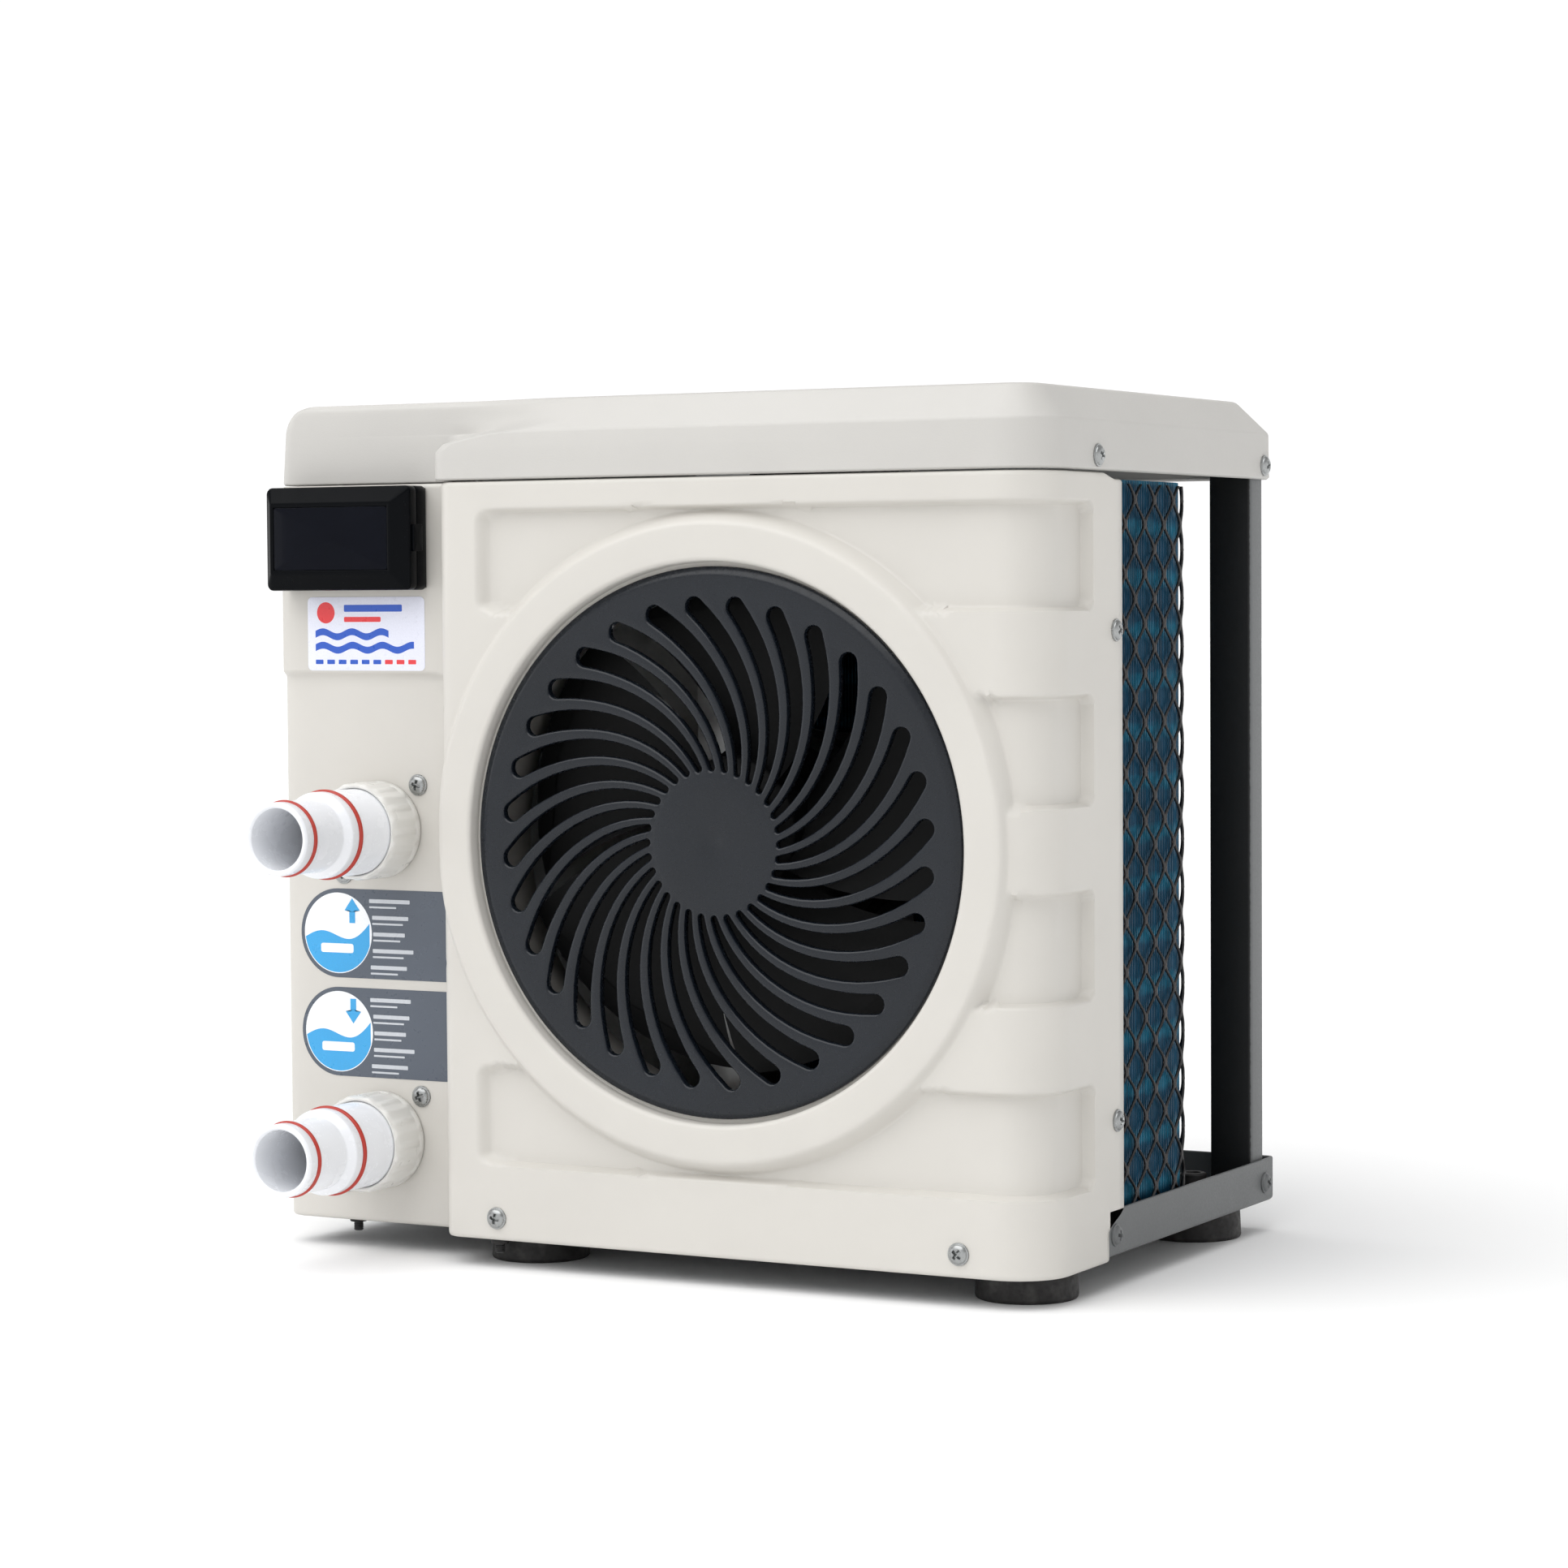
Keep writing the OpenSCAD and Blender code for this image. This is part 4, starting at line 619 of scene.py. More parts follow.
def fine_lines(low, high, coarse, marks, fine=0.7, reach=4.2):
    """Grid lines from low to high: coarse steps, with fine ones near each mark."""
    lines = [np.linspace(low, high, int((high - low) / coarse) + 2)]
    for mark in marks:
        lines.append(np.clip(np.arange(mark - reach, mark + reach, fine), low, high))
    lines = np.unique(np.round(np.concatenate(lines), 3))
    keep = np.r_[True, np.diff(lines) > 0.28]
    return lines[keep]


def make_front_panel():
    """The sheet of PanelForm on a plain grid, with its polar grid round the fan and triangles between."""
    s = sizes()
    form = PanelForm(s)
    wrap = form.arc_right + in_mm(s.window_wrap) - RIGHT_CORNER
    u_marks = [form.u_left + 50, 112, 116, wrap - 2, form.arc_left - 8, form.arc_left, form.arc_left + 6,
               form.arc_left + 12, form.u_left + 52]
    u_marks += list(np.arange(form.width - RIGHT_CORNER, form.arc_right + 1, 6))
    z_marks = [form.z0, form.z1, form.seam - PAD_BELOW_SEAM, form.seam - PAD_BELOW_SEAM - 8, 26, 30]
    z_marks += [form.seam - edge + side for _, low, high in WINDOWS_BELOW_SEAM
                for edge, side in ((low, 1.5), (high, -1.5))]
    u = fine_lines(form.u_left, form.u_right, 5.5, u_marks, 1.0)
    z = fine_lines(form.z0, form.z1, 5.5, z_marks, 0.9)
    across = form.across_at(u)
    uu, zz = np.meshgrid(u, z, indexing="ij")
    xx = np.meshgrid(across, z, indexing="ij")[0]
    outside = np.hypot(xx - form.fan[0], zz - form.fan[1]) > JOIN_R + 1.2
    kept = outside[:-1, :-1] & outside[1:, :-1] & outside[1:, 1:] & outside[:-1, 1:]
    points, faces, _ = grid(form.points(uu, zz))
    plain = (points, faces[kept.ravel()], 0)
    ring = ring_patch(form, s)
    join = join_patch(form, u, z, across, kept)
    patches = [towards(p, (0, -1, 0)) for p in (plain, join, ring)]
    material = moulded("cream_moulding", colours().body, 0.44, 0.5, 0.03, 0.015)
    piece = put("front_panel_moulding", patches, [material], "case", "cream_plastic", ["front_panel"], 60,
                False)
    shell(piece, in_mm(s.wall))


def ring_patch(form, s):
    """Polar sheet from the join inwards: over the ring, round the lip, down the seat and along the duct."""
    grille_r = (span("fan_grille")[1][0] - span("fan_grille")[0][0]) / 2
    hole, seat, duct, end = grille_r + 2, 4.5, 109.0, 36.0
    t = np.arange(JOIN_N) * TURN / JOIN_N
    radii = np.r_[np.arange(JOIN_R, in_mm(s.ring_radius) - 2.5, -0.55), 127, 123, hole + 5][:, None]
    x, z = form.fan[0] + radii * np.cos(t), form.fan[1] + radii * np.sin(t)
    outer = form.points(form.along_at(x), z, np.broadcast_to(radii, x.shape))
    lip = fillet([(hole + 4.5, -RING_PROUD), (hole, -RING_PROUD), (hole, seat), (duct, seat), (duct, end)],
                 [0, 2.6, 0.6, 1.2, 0], 6)[1:]
    inner = np.stack([form.fan[0] + lip[:, :1] * np.cos(t), lip[:, 1:] + 0 * t,
                      form.fan[1] + lip[:, :1] * np.sin(t)], -1)
    return grid(np.concatenate([outer, inner]), wrap_v=True)


def join_patch(form, u, z, across, kept):
    """Triangles between the plain grid's stepped edge and the ring's circle."""
    count = np.zeros((len(u), len(z)), int)
    for i, j in ((0, 0), (1, 0), (1, 1), (0, 1)):
        count[i:i + kept.shape[0], j:j + kept.shape[1]] += kept
    near = (count > 0) & (count < 4)
    near[[0, -1]] = False
    near[:, [0, -1]] = False
    index = np.full(near.shape, -1)
    index[near] = np.arange(near.sum())
    iu, iz = np.nonzero(near)
    edges = []
    for di, dj in ((1, 0), (0, 1)):
        a, b = index[:index.shape[0] - di, :index.shape[1] - dj], index[di:, dj:]
        both = (a >= 0) & (b >= 0)
        if di:
            left, right = np.pad(kept, ((0, 0), (1, 0))), np.pad(kept, ((0, 0), (0, 1)))
        else:
            left, right = np.pad(kept, ((1, 0), (0, 0))), np.pad(kept, ((0, 1), (0, 0)))
        both &= (left != right)
        edges += np.stack([a[both], b[both]], 1).tolist()
    t = np.arange(JOIN_N) * TURN / JOIN_N
    circle = np.stack([form.fan[0] + JOIN_R * np.cos(t), form.fan[1] + JOIN_R * np.sin(t)], 1)
    first = int(near.sum())
    flat = np.vstack([np.stack([across[iu], z[iz]], 1), circle])
    ring = first + np.arange(JOIN_N)
    edges += np.stack([ring, np.roll(ring, -1)], 1).tolist()
    result = delaunay_2d_cdt([Vector(p) for p in flat], edges, [], 0, 1e-6)
    verts, triangles, origins = result[0], np.array([f for f in result[2] if len(f) == 3]), result[3]
    source = np.array([o[0] if o else -1 for o in origins])
    corner = source[triangles]
    flat_out = np.array([tuple(v) for v in verts])
    centre = flat_out[triangles].mean(1)
    cell_u = np.clip(np.searchsorted(across, centre[:, 0]) - 1, 0, kept.shape[0] - 1)
    cell_z = np.clip(np.searchsorted(z, centre[:, 1]) - 1, 0, kept.shape[1] - 1)
    good = ~kept[cell_u, cell_z] & ~(corner >= first).all(1) & (corner >= 0).all(1)
    good &= np.hypot(centre[:, 0] - form.fan[0], centre[:, 1] - form.fan[1]) > JOIN_R - 1
    inner = form.points(u[iu], z[iz])
    outer = form.points(form.along_at(circle[:, 0]), circle[:, 1], np.full(JOIN_N, JOIN_R))
    return np.vstack([inner, outer]), corner[good], 0


# ---- top cover ----
def make_top_cover():
    """A stack of plan outlines, one for each height. The band stands plumb and then slopes in, the left end
    rounds over in a shoulder, and the step's edge turns right along a quarter of an oval, and lies down
    into a long blend above the band."""
    low, high = span("top_cover")
    band, bevel, shoulder, lean = 20.0, 11.0, 13.0, 13.0
    z0, z1 = low[2], high[2]
    side = fillet([(0.9, z0), (0, z0 + 0.9), (0, z0 + band), (bevel, z1), (bevel + 20, z1)],
                  [0, 0.6, 2.6, 3.5, 0], 6)
    turn = np.linspace(0, math.pi / 2, 12)
    left = np.vstack([[(0.9, z0), (0, z0 + 0.9)], np.stack([
        1.2 + shoulder - shoulder * np.cos(turn), z1 - shoulder + shoulder * np.sin(turn)], 1)])
    heights = np.unique(np.round(np.r_[side[:, 1], left[:, 1], np.linspace(z0 + 2, z1 - 2, 10), z1], 2))
    loops = []
    for z in heights:
        inset = np.interp(z, side[:, 1], side[:, 0]) if z < z1 else side[-2, 0]
        inset_left = np.interp(z, left[:, 1], left[:, 0])
        climb = min(max((z - z0 - band / 2) / (band / 2), 0), 1)
        step = 92.0 + lean * (1 - math.sqrt(1 - climb ** 2))
        rear = high[1] - inset - 1.5 * (z - z0) / (z1 - z0)
        face = FACE_Y + 0.6 * (z - z0) / (z1 - z0) + 1.6 * smooth((z - z1 + 2.5) / 2.5)
        right = high[0] - inset
        lay = smooth((z - z0 - 14) / 13)
        corners = [(inset_left, rear), (inset_left, face), (step, face), (step + 42 * lay, inset),
                   (right, inset), (right, rear)]
        rise, run = face - inset, 42 * lay
        limit = 0.46 * math.hypot(rise, run) / math.tan(math.atan2(rise, run) / 2)
        radii = [3, 7, min(5 + 90 * lay, limit), min(7 + 90 * lay, limit), max(RIGHT_CORNER - inset, 4), 3]
        loop = fillet(corners, radii, 9, closed=True)
        loops.append(np.insert(loop, 2, z, axis=1))
    top = loops[-1]
    hub = np.array([high[0] / 2, high[1] / 2, z1])
    loops += [hub + (top - hub) * k for k in (0.985, 0.7, 0.35, 0.0)]
    skin = towards(grid(np.array(loops), wrap_v=True), (0, 0, 1))
    # the cover's colour carries painted shade as well as its own grey
    material = moulded("cover_moulding", colours().cover, 0.47, 0.75, 0.09, 0.012, 0.5)
    piece = put("top_cover_moulding", [skin], [material], "case", "cover_plastic", ["top_cover"], 50, False)
    shell(piece, in_mm(sizes().cover_wall))


# ---- fan ----
SLOT_TURN = 0.575   # degrees that a slot turns for each millimetre of radius
SLOT_RIM, SLOT_HUB = 16, 3   # what the slots leave of the rim and beyond the hub
CELL_RIM, CELL_HUB = 10, 28.0


def slot_angle(r):
    """Angle of a slot's centre line, which turns evenly with the radius."""
    return np.radians(11.2 + SLOT_TURN * (r - 30))


def slot_loop(n, r_in, r_out, grow, sides=15, ends=7):
    """Outline of one slot grown by a margin: two spiral sides and two half-round ends."""
    r = np.linspace(r_in, r_out, sides)
    lean = np.arctan(r * np.radians(SLOT_TURN))
    width = np.minimum(8, TURN * r / n * np.cos(lean) - 3 - 0.03 * (r - 30)) / 2 + grow
    a, d = slot_angle(r), slot_angle(r) + lean
    middle_line = np.stack([r * np.cos(a), r * np.sin(a)], 1)
    across = np.stack([-np.sin(d), np.cos(d)], 1) * width[:, None]
    ahead = np.stack([np.cos(d), np.sin(d)], 1) * width[:, None]
    t = (np.arange(1, ends + 1) / (ends + 1) * math.pi)[:, None]
    far = middle_line[-1] + np.cos(t) * across[-1] + np.sin(t) * ahead[-1]
    near = middle_line[0] - np.cos(t) * across[0] - np.sin(t) * ahead[0]
    return np.vstack([middle_line + across, far, (middle_line - across)[::-1], near])


def cell_loop(n, r_in, r_out, sides=15, ends=7):
    """Outline of one slot's share of the plate, with a point for each of the slot's own points."""
    half = math.pi / n
    r = np.linspace(r_in, r_out, sides)
    k = np.arange(1, ends + 1) / (ends + 1)
    radius = np.r_[r, np.full(ends, r_out), r[::-1], np.full(ends, r_in)]
    angle = np.r_[slot_angle(r) + half, slot_angle(r_out) + half - 2 * half * k, slot_angle(r[::-1]) - half,
                  slot_angle(r_in) - half + 2 * half * k]
    return np.stack([radius * np.cos(angle), radius * np.sin(angle)], 1)


def make_grille():
    """A plate of spiral bars: each slot's cell is lofted to the slot's own outline, round its edge and
    through the plate, and the hub and rim are turned."""
    s = sizes()
    low, high = span("fan_grille")
    x, _, z = middle("fan_grille")
    y0, y1, radius = low[1], high[1], (high[0] - low[0]) / 2
    n, r_in, r_out, edge = s.slot_count, CELL_HUB, radius - CELL_RIM, 1.15
    slot_in, slot_out = r_in + SLOT_HUB, radius - SLOT_RIM
    rows = [np.insert(cell_loop(n, r_in, r_out), 1, y0, axis=1)]
    for t in np.linspace(0, math.pi / 2, 5):
        loop = slot_loop(n, slot_in, slot_out, edge * (1 - math.sin(t)))
        rows.append(np.insert(loop, 1, y0 + 0.12 + edge * (1 - math.cos(t)), axis=1))
    for grow, y in ((0, y1 - 0.3), (0.3, y1)):
        rows.append(np.insert(slot_loop(n, slot_in, slot_out, grow), 1, y, axis=1))
    rows.append(np.insert(cell_loop(n, r_in, r_out), 1, y1, axis=1))
    cells = ring_of(grid(np.array(rows), wrap_v=True), n, x, z)
    lines, half = n * 8, math.pi / n
    rim = fillet([(r_out, y0), (radius - 3.5, y0), (radius, y0 + 1.5), (radius, y1), (r_out, y1)],
                 [0, 5, 1.2, 0.3, 0], 5)
    hub = [(r_in, y0), (27.4, y0 - 0.1), (26.6, y0 - 0.25), (20, y0 - 0.3), (9, y0 - 0.25), (5, y0 + 0.1),
           (2.5, y0 + 0.55), (0, y0 + 0.7)]
    back = [(0, y1), (15, y1), (r_in, y1)]
    parts = [cells, lathe(rim, x, z, "y", lines, closed=False, start=slot_angle(r_out) + half),
             lathe(hub + back, x, z, "y", lines, closed=False, start=slot_angle(r_in) + half)]
    material = moulded("grille_moulding", colours().grille, 0.24, 2.2, 0.006, 0.1, 0.12,
                       Specular_IOR_Level=0.38)
    put("grille_moulding", parts, [material], "case", "slate_plastic", ["fan_grille"], 50)


def make_fan():
    """Cup-shaped hub with twisted blades. A blade's section is a thin cambered lens, swept back and turned
    less steeply towards its tip."""
    s = sizes()
    low, high = span("fan_rotor")
    x, y, z = middle("fan_rotor")
    radius, hub_r = (high[0] - low[0]) / 2, 30.0
    hub = fillet([(4.1, low[1]), (hub_r - 6, low[1]), (hub_r, low[1] + 5), (hub_r, high[1]),
                  (hub_r - 2.5, high[1]), (hub_r - 2.5, low[1] + 4), (9, low[1] + 4), (9, high[1] - 4),
                  (4.1, high[1] - 4)], [0, 3, 3, 0.6, 0.6, 2, 2, 0.6, 0], 4)
    rho = np.linspace(hub_r - 2, radius - 0.2, 16)[:, None]
    t = np.linspace(0, TURN, 28, endpoint=False)
    chord, thick = np.cos(t), np.sin(t)
    share = (rho - hub_r) / (radius - hub_r)
    turn = np.radians(18 * share + (31 + 2 * share) * chord)
    rise = (9.5 - 2.5 * share) * chord + 2.2 * (1 - chord ** 2) + (1.3 - 0.5 * share) * thick * np.sqrt(
        np.maximum(1 - chord ** 2, 0.02))
    loops = np.stack([rho * np.cos(turn), np.clip(y + rise - 1.0, low[1], high[1]), rho * np.sin(turn)], -1)
    blades = ring_of(solid(loops), s.blade_count, x, z)
    # near black: the fan's black plastic, darkened further as painted shade for the shaded duct behind the
    # grille
    material = moulded("fan_moulding", linear(9, 10, 11), 0.5, 1.0, 0.03, 0.15, Specular_IOR_Level=0.2)
    put("fan_blades", [lathe(hub, x, z), blades], [material], "fan", "fan_plastic", ["fan_rotor"], 40)


# ---- coil ----
COIL_DEEP = 20
COIL_BEND = 45


def coil_path(gap, front, left):
    """The L-shaped line along the coil's outer face, moved outwards by a gap."""
    high = span("evaporator_fins")[1]
    x, y = high[0] + gap, high[1] + gap
    return PlanPath([(x, front), (x, y), (left, y)], [0, COIL_BEND + gap, 0])


def make_fins():
    """Fin pack: a pleated wall along the L. Its outer and inner faces step in and out once for each fin."""
    low, high = span("evaporator_fins")
    path = coil_path(0, low[1], low[0])
    count = int(path.u[-1] / in_mm(sizes().fin_pitch))
    u = np.linspace(0, path.u[-1], count * 4 + 1)
    x, y, nx, ny = path.at(u)
    pleat = np.tile([0.0, 0.0, 1.5, 1.5], count + 1)[:len(u)]
    wall = np.stack([pleat, pleat, COIL_DEEP - pleat, COIL_DEEP - pleat], 1)
    levels = np.array([low[2], high[2], high[2], low[2]])[None] + 0 * wall
    points = np.stack([x[:, None] - nx[:, None] * wall, y[:, None] - ny[:, None] * wall, levels], -1)
    rows = in_mm(sizes().row_pitch)
    start = low[2] + ((high[2] - low[2]) - rows * (round((high[2] - low[2]) / rows) - 2)) / 2
    c = colours()
    # the fins' lighter bands at the tube rows are painted sheen
    material = coated_fins("coated_fins", c.fin_deep, c.fin_painted_sheen, rows, start)
    put("fin_pack", [solid(points)], [material], "case", "fin_coating", ["evaporator_fins"], 25)


def make_net():
    """Net of wavy strands: strand k lies at u = pitch k + sway sin(turn z / wave + half a turn k), so that
    neighbours meet by turns, and each meeting has a flat knot."""
    s = sizes()
    low, high = span("evaporator_fins")
    path = coil_path(1.55, span("coil_net")[0][1], low[0] + 2)
    pitch, wave, sway, thick = in_mm(s.net_pitch), 2 * in_mm(s.knot_pitch), 4.35, 0.72
    n = int((path.u[-1] - 4) / pitch)
    k = np.arange(n)[:, None]
    z = np.arange(low[2] + 1, high[2] - 1, 1.7)
    phase = TURN * z / wave + math.pi * k
    u = 6 + pitch * k + sway * np.sin(phase)
    t = np.linspace(0, TURN, 6, endpoint=False)
    x, y, nx, ny = (f[..., None] for f in path.at(u))
    out, along = thick * np.cos(t), 1.25 * thick * np.sin(t)
    points = np.stack([x + nx * out - ny * along, y + ny * out + nx * along,
                       np.broadcast_to(z[None, :, None], x.shape[:2] + (6,))], -1)
    strands = [solid(points[i]) for i in range(n)]
    first = (math.pi / 2) / TURN * wave
    knots = []
    for i in range(n - 1):
        at = first - (i % 2) * wave / 2 + wave * np.arange(-1, 40)
        at = at[(at > low[2] + 3) & (at < high[2] - 3)]
        knots.append(np.stack([np.full(len(at), 6 + pitch * (i + 0.5)), at], 1))
    knots = np.vstack(knots)
    x, y, nx, ny = path.at(knots[:, 0])
    o = np.zeros(len(knots))
    turns = np.stack([np.stack([nx, -ny, o], 1), np.stack([ny, nx, o], 1), np.stack([o, o, o + 1], 1)], 1)
    a, b = np.linspace(0, math.pi, 5)[:, None], np.linspace(0, TURN, 7, endpoint=False)
    bead = grid(np.stack([0.85 * np.sin(a) * np.cos(b), 1.75 * np.sin(a) * np.sin(b),
                          2.3 * np.cos(a) + 0 * b], -1), wrap_v=True, mat=1)
    beads = copies(bead, turns, np.stack([x, y, knots[:, 1]], 1))
    strand = moulded("net_strand", linear(21, 19, 20), 0.4, 0.8, 0.04, 0.2)
    knot = moulded("net_knot", linear(42, 36, 34), 0.5, 0.8, 0.05, 0.25)
    put("coil_net_strands", strands + [beads], [strand, knot], "case", "net_plastic", ["coil_net"], 60)


# ---- water fittings ----
def make_hose_tail(name, node, mat):
    """Turned hose tail: two steps with a chamfer between, a groove for each ring, a collar and a bore."""
    low, high = span(node)
    x, _, z = middle(node)
    m, wide, narrow, bore, collar = low[1], 18.4, 15.5, 13.0, (high[0] - low[0]) / 2
    profile = [(bore, m + 0.9), (bore + 0.9, m), (narrow - 0.8, m), (narrow, m + 1.2), (narrow, m + 5.8),
               (narrow - 1.5, m + 5.9), (narrow - 1.5, m + 8.1), (narrow, m + 8.2), (narrow, m + 27),
               (wide, m + 30), (wide, m + 34.7), (wide - 1.5, m + 34.8), (wide - 1.5, m + 37.2),
               (wide, m + 37.3), (wide, high[1] - 3), (collar, high[1] - 3), (collar, high[1]),
               (bore, high[1])]
    radii = [0.6, 0.6, 0.8, 1, 0.3, 0.2, 0.2, 0.3, 1.5, 1.5, 0.3, 0.2, 0.2, 0.3, 0.2, 0.4, 0.4, 0.2]
    turned = lathe(fillet(profile, radii, 3, closed=True), x, z, n=112)
    put(name, [turned], [mat], "case", "white_pvc", [node], 50)


def make_seals(name, node, mats):
    """Two round-section sealing rings in their grooves, and the flat washer behind the collar."""
    low, high = span(node)
    x, _, z = middle(node)
    t = np.linspace(0, TURN, 14, endpoint=False)
    rings = []
    for radius, place, thick in ((15.1, low[1] + 1.1, 1.1), (high[0] - x - 1.2, low[1] + 30.1, 1.2)):
        rings.append(lathe(np.stack([radius + thick * np.cos(t), place + thick * np.sin(t)], 1), x, z, n=96))
    front, rear = high[1] - 1.4, high[1]
    washer = fillet([(14, front), (18, front), (18, rear), (14, rear)], 0.3, 3, closed=True)
    rings.append(lathe(washer, x, z, mat=1))
    put(name, rings, mats, "case", "red_rubber", [node], 50)


def make_union_nut(name, node, body, mat):
    """Union nut: r = flats rounded into their corners, with a raised rib on every flat, between a chamfered
    front lip and a plain rear collar."""
    low, high = span(node)
    x, _, z = middle(node)
    y0, y1 = low[1], high[1]
    t = np.linspace(0, TURN, 240, endpoint=False)
    corner = 21.5
    fold = (t + math.pi / 12) % (math.pi / 6) - math.pi / 12
    flats = np.minimum(corner * math.cos(math.pi / 12) / np.cos(fold), corner - 0.12)
    rib = 1.1 * smooth(1.6 - np.abs(fold) / math.radians(3.2))
    rows = [(18.7, y0 + 0.7, 0, 0), (19.3, y0, 0, 0), (19.9, y0, 0, 0), (0, y0 + 0.5, -0.75, 0),
            (0, y0 + 1.6, -0.35, 0.2), (0, y0 + 3.0, -0.3, 1), (0, y1 - 4.2, -0.3, 1),
            (0, y1 - 3.4, -0.3, 0.3), (20.9, y1 - 3.0, 0, 0), (21.0, y1 - 0.6, 0, 0), (20.6, y1, 0, 0),
            (19.6, y1, 0, 0), (19.45, y1 - 0.3, 0, 0), (19.45, y0 + 3, 0, 0), (18.7, y0 + 3, 0, 0)]
    radius = np.array([np.full(len(t), r) if r else flats + cut + k * rib * 0.5 for r, _, cut, k in rows])
    level = np.array([[row[1]] for row in rows]) + 0 * radius
    points = np.stack([x + radius * np.cos(t), level, z + radius * np.sin(t)], -1)
    put(name, [grid(points, wrap_u=True, wrap_v=True)], [mat], body, "nut_plastic", [node], 42)


# ---- controller ----
def knuckle(low, high, x, y):
    """One turned knuckle of the flap's hinge, between two heights."""
    section = fillet([(1.06, low), (2.1, low), (2.1, high), (1.06, high)], 0.3, 3, closed=True)
    return lathe(section, x, y, "z", 24)


def make_controller():
    """Hollow housing and a bevelled lid: each is one wall carried round a rounded rectangle, out along its
    front and back again inside."""
    low, high = span("controller_base")
    plate_low, plate_high = span("controller_plate")
    x0, x1 = plate_low[0] - 2.1, plate_high[0] + 2.1
    z0, z1, y0, y1 = low[2], high[2], span("controller_gasket")[0][1] - 7.6, high[1]
    black = gloss("gloss_black", (0.0018, 0.0023, 0.0032), 0.2, 0.08, Specular_IOR_Level=0.06)
    around = rect(x0, x1, z0, z1, 2.6, 5)
    wall = [(y1, 0.9), (y1 - 0.3, 0.25), (y1 - 0.9, 0.0), (y0 + 0.5, 0.0), (y0 + 0.12, 0.14), (y0, 0.5),
            (y0, 1.75), (y0 + 0.25, 2.0), (y1 - 2.2, 2.0), (y1 - 2.0, 2.2)]
    base = solid([np.insert(around(i), 1, y, axis=1) for y, i in wall])
    hinge_x, hinge_y = x0 - 0.4, y0 - 0.075
    middle_knuckle = knuckle(z0 + 16.1, z0 + 26.1, hinge_x, hinge_y)
    put("controller_housing", [base, middle_knuckle], [black], "case", "gloss_black", ["controller_base"], 32)

    lid_low, _ = span("controller_lid")
    face, back = lid_low[1], y0 - 0.15
    left, right, upright, deep = 3.7, 8.0, 6.9, 3.0

    def bevelled(inset, share):
        """The outline drawn in by a share of the four bevels, which differ from side to side."""
        return rect(x0 + left * share, x1 - right * share, z0 + upright * share, z1 - upright * share,
                    2.6 - 1.5 * share, 5)(inset)

    # rows of (y, plain inset, share of the bevels)
    lid = [(back, 0.5, 0), (back - 0.15, 0.12, 0), (back - 0.5, 0, 0), (face + deep + 0.9, 0, 0),
           (face + deep + 0.35, 0.02, 0.008), (face + deep - 0.2, 0, 0.06), (face + 0.42, 0, 0.88),
           (face + 0.12, 0, 0.965), (face + 0.02, 0, 1.02), (face, 0.15, 1.05), (face, 1.5, 1),
           (face + 0.12, 1.68, 1), (face + 1.9, 1.72, 1), (face + 2, 1.9, 1), (face + deep + 1.5, 1.8, 0.05),
           (back - 0.2, 1.75, 0), (back, 1.5, 0)]
    frame_loops = np.array([np.insert(bevelled(i, k), 1, y, axis=1) for y, i, k in lid])
    parts = [grid(frame_loops, wrap_u=True, wrap_v=True)]
    parts += [knuckle(z0 + low_z, z0 + low_z + 7.5, hinge_x, hinge_y) for low_z in (8.4, 26.4)]
    mid_z = (z0 + z1) / 2
    latch = rect(face + deep + 1.4, y0 + 2.6, mid_z - 5.8, mid_z + 5.8, 0.8)
    root = rect(face + deep + 1.6, back - 0.1, mid_z - 5.2, mid_z + 5.2, 0.5)
    parts += [slab(latch, x1 + 0.3, x1 + 1.15, 0.3, 0), slab(root, x1 - 1.6, x1 + 0.9, 0.2, 0)]
    put("controller_flap_frame", parts, [black], "controller_flap", "gloss_black", ["controller_lid"], 32)

    pane = Finish("smoked_pane", IOR=1.49, Alpha=0.95, Specular_IOR_Level=0.07)
    pane.colour(pane.blend(pane.noise(20, 2), (0.0025, 0.003, 0.006), (0.004, 0.005, 0.009)))
    pane.roughness(pane.ranged(pane.noise(8, 4), 0.3, 0.7, 0.06, 0.1))
    lip = 1.8
    outline = rect(x0 + left + lip, x1 - right - lip, z0 + upright + lip, z1 - upright - lip, 1.2)
    window = slab(outline, face + 0.12, face + 1.9, 0.35)
    put("flap_window", [window], [pane.material], "controller_flap", "smoked_pane", ["lid_window"], 30)


def make_keys():
    """Round keys: a dished cap with a soft rim, over a wider foot."""
    soft = rubbery("key_rubber", linear(168, 170, 172), 0.5, (0.6, 0.6, 0.6), 0.25)
    for node, body in (("power_button", "power_key"), ("mode_button", "mode_key"), ("up_button", "up_key"),
                       ("down_button", "down_key")):
        low, high = span(node)
        x, _, z = middle(node)
        foot, cap = (high[0] - low[0]) / 2, (high[0] - low[0]) / 2 - 1
        profile = [(0, low[1] + 0.5), (cap - 1.2, low[1] + 0.15), (cap, low[1]), (cap, high[1] - 1),
                   (foot, high[1] - 1), (foot, high[1]), (0, high[1])]
        key = lathe(fillet(profile, [0, 1, 0.5, 0.1, 0.2, 0.2, 0], 4), x, z, n=40, closed=False)
        put(node + "_cap", [key], [soft], body, "button_grey", [node], 40)


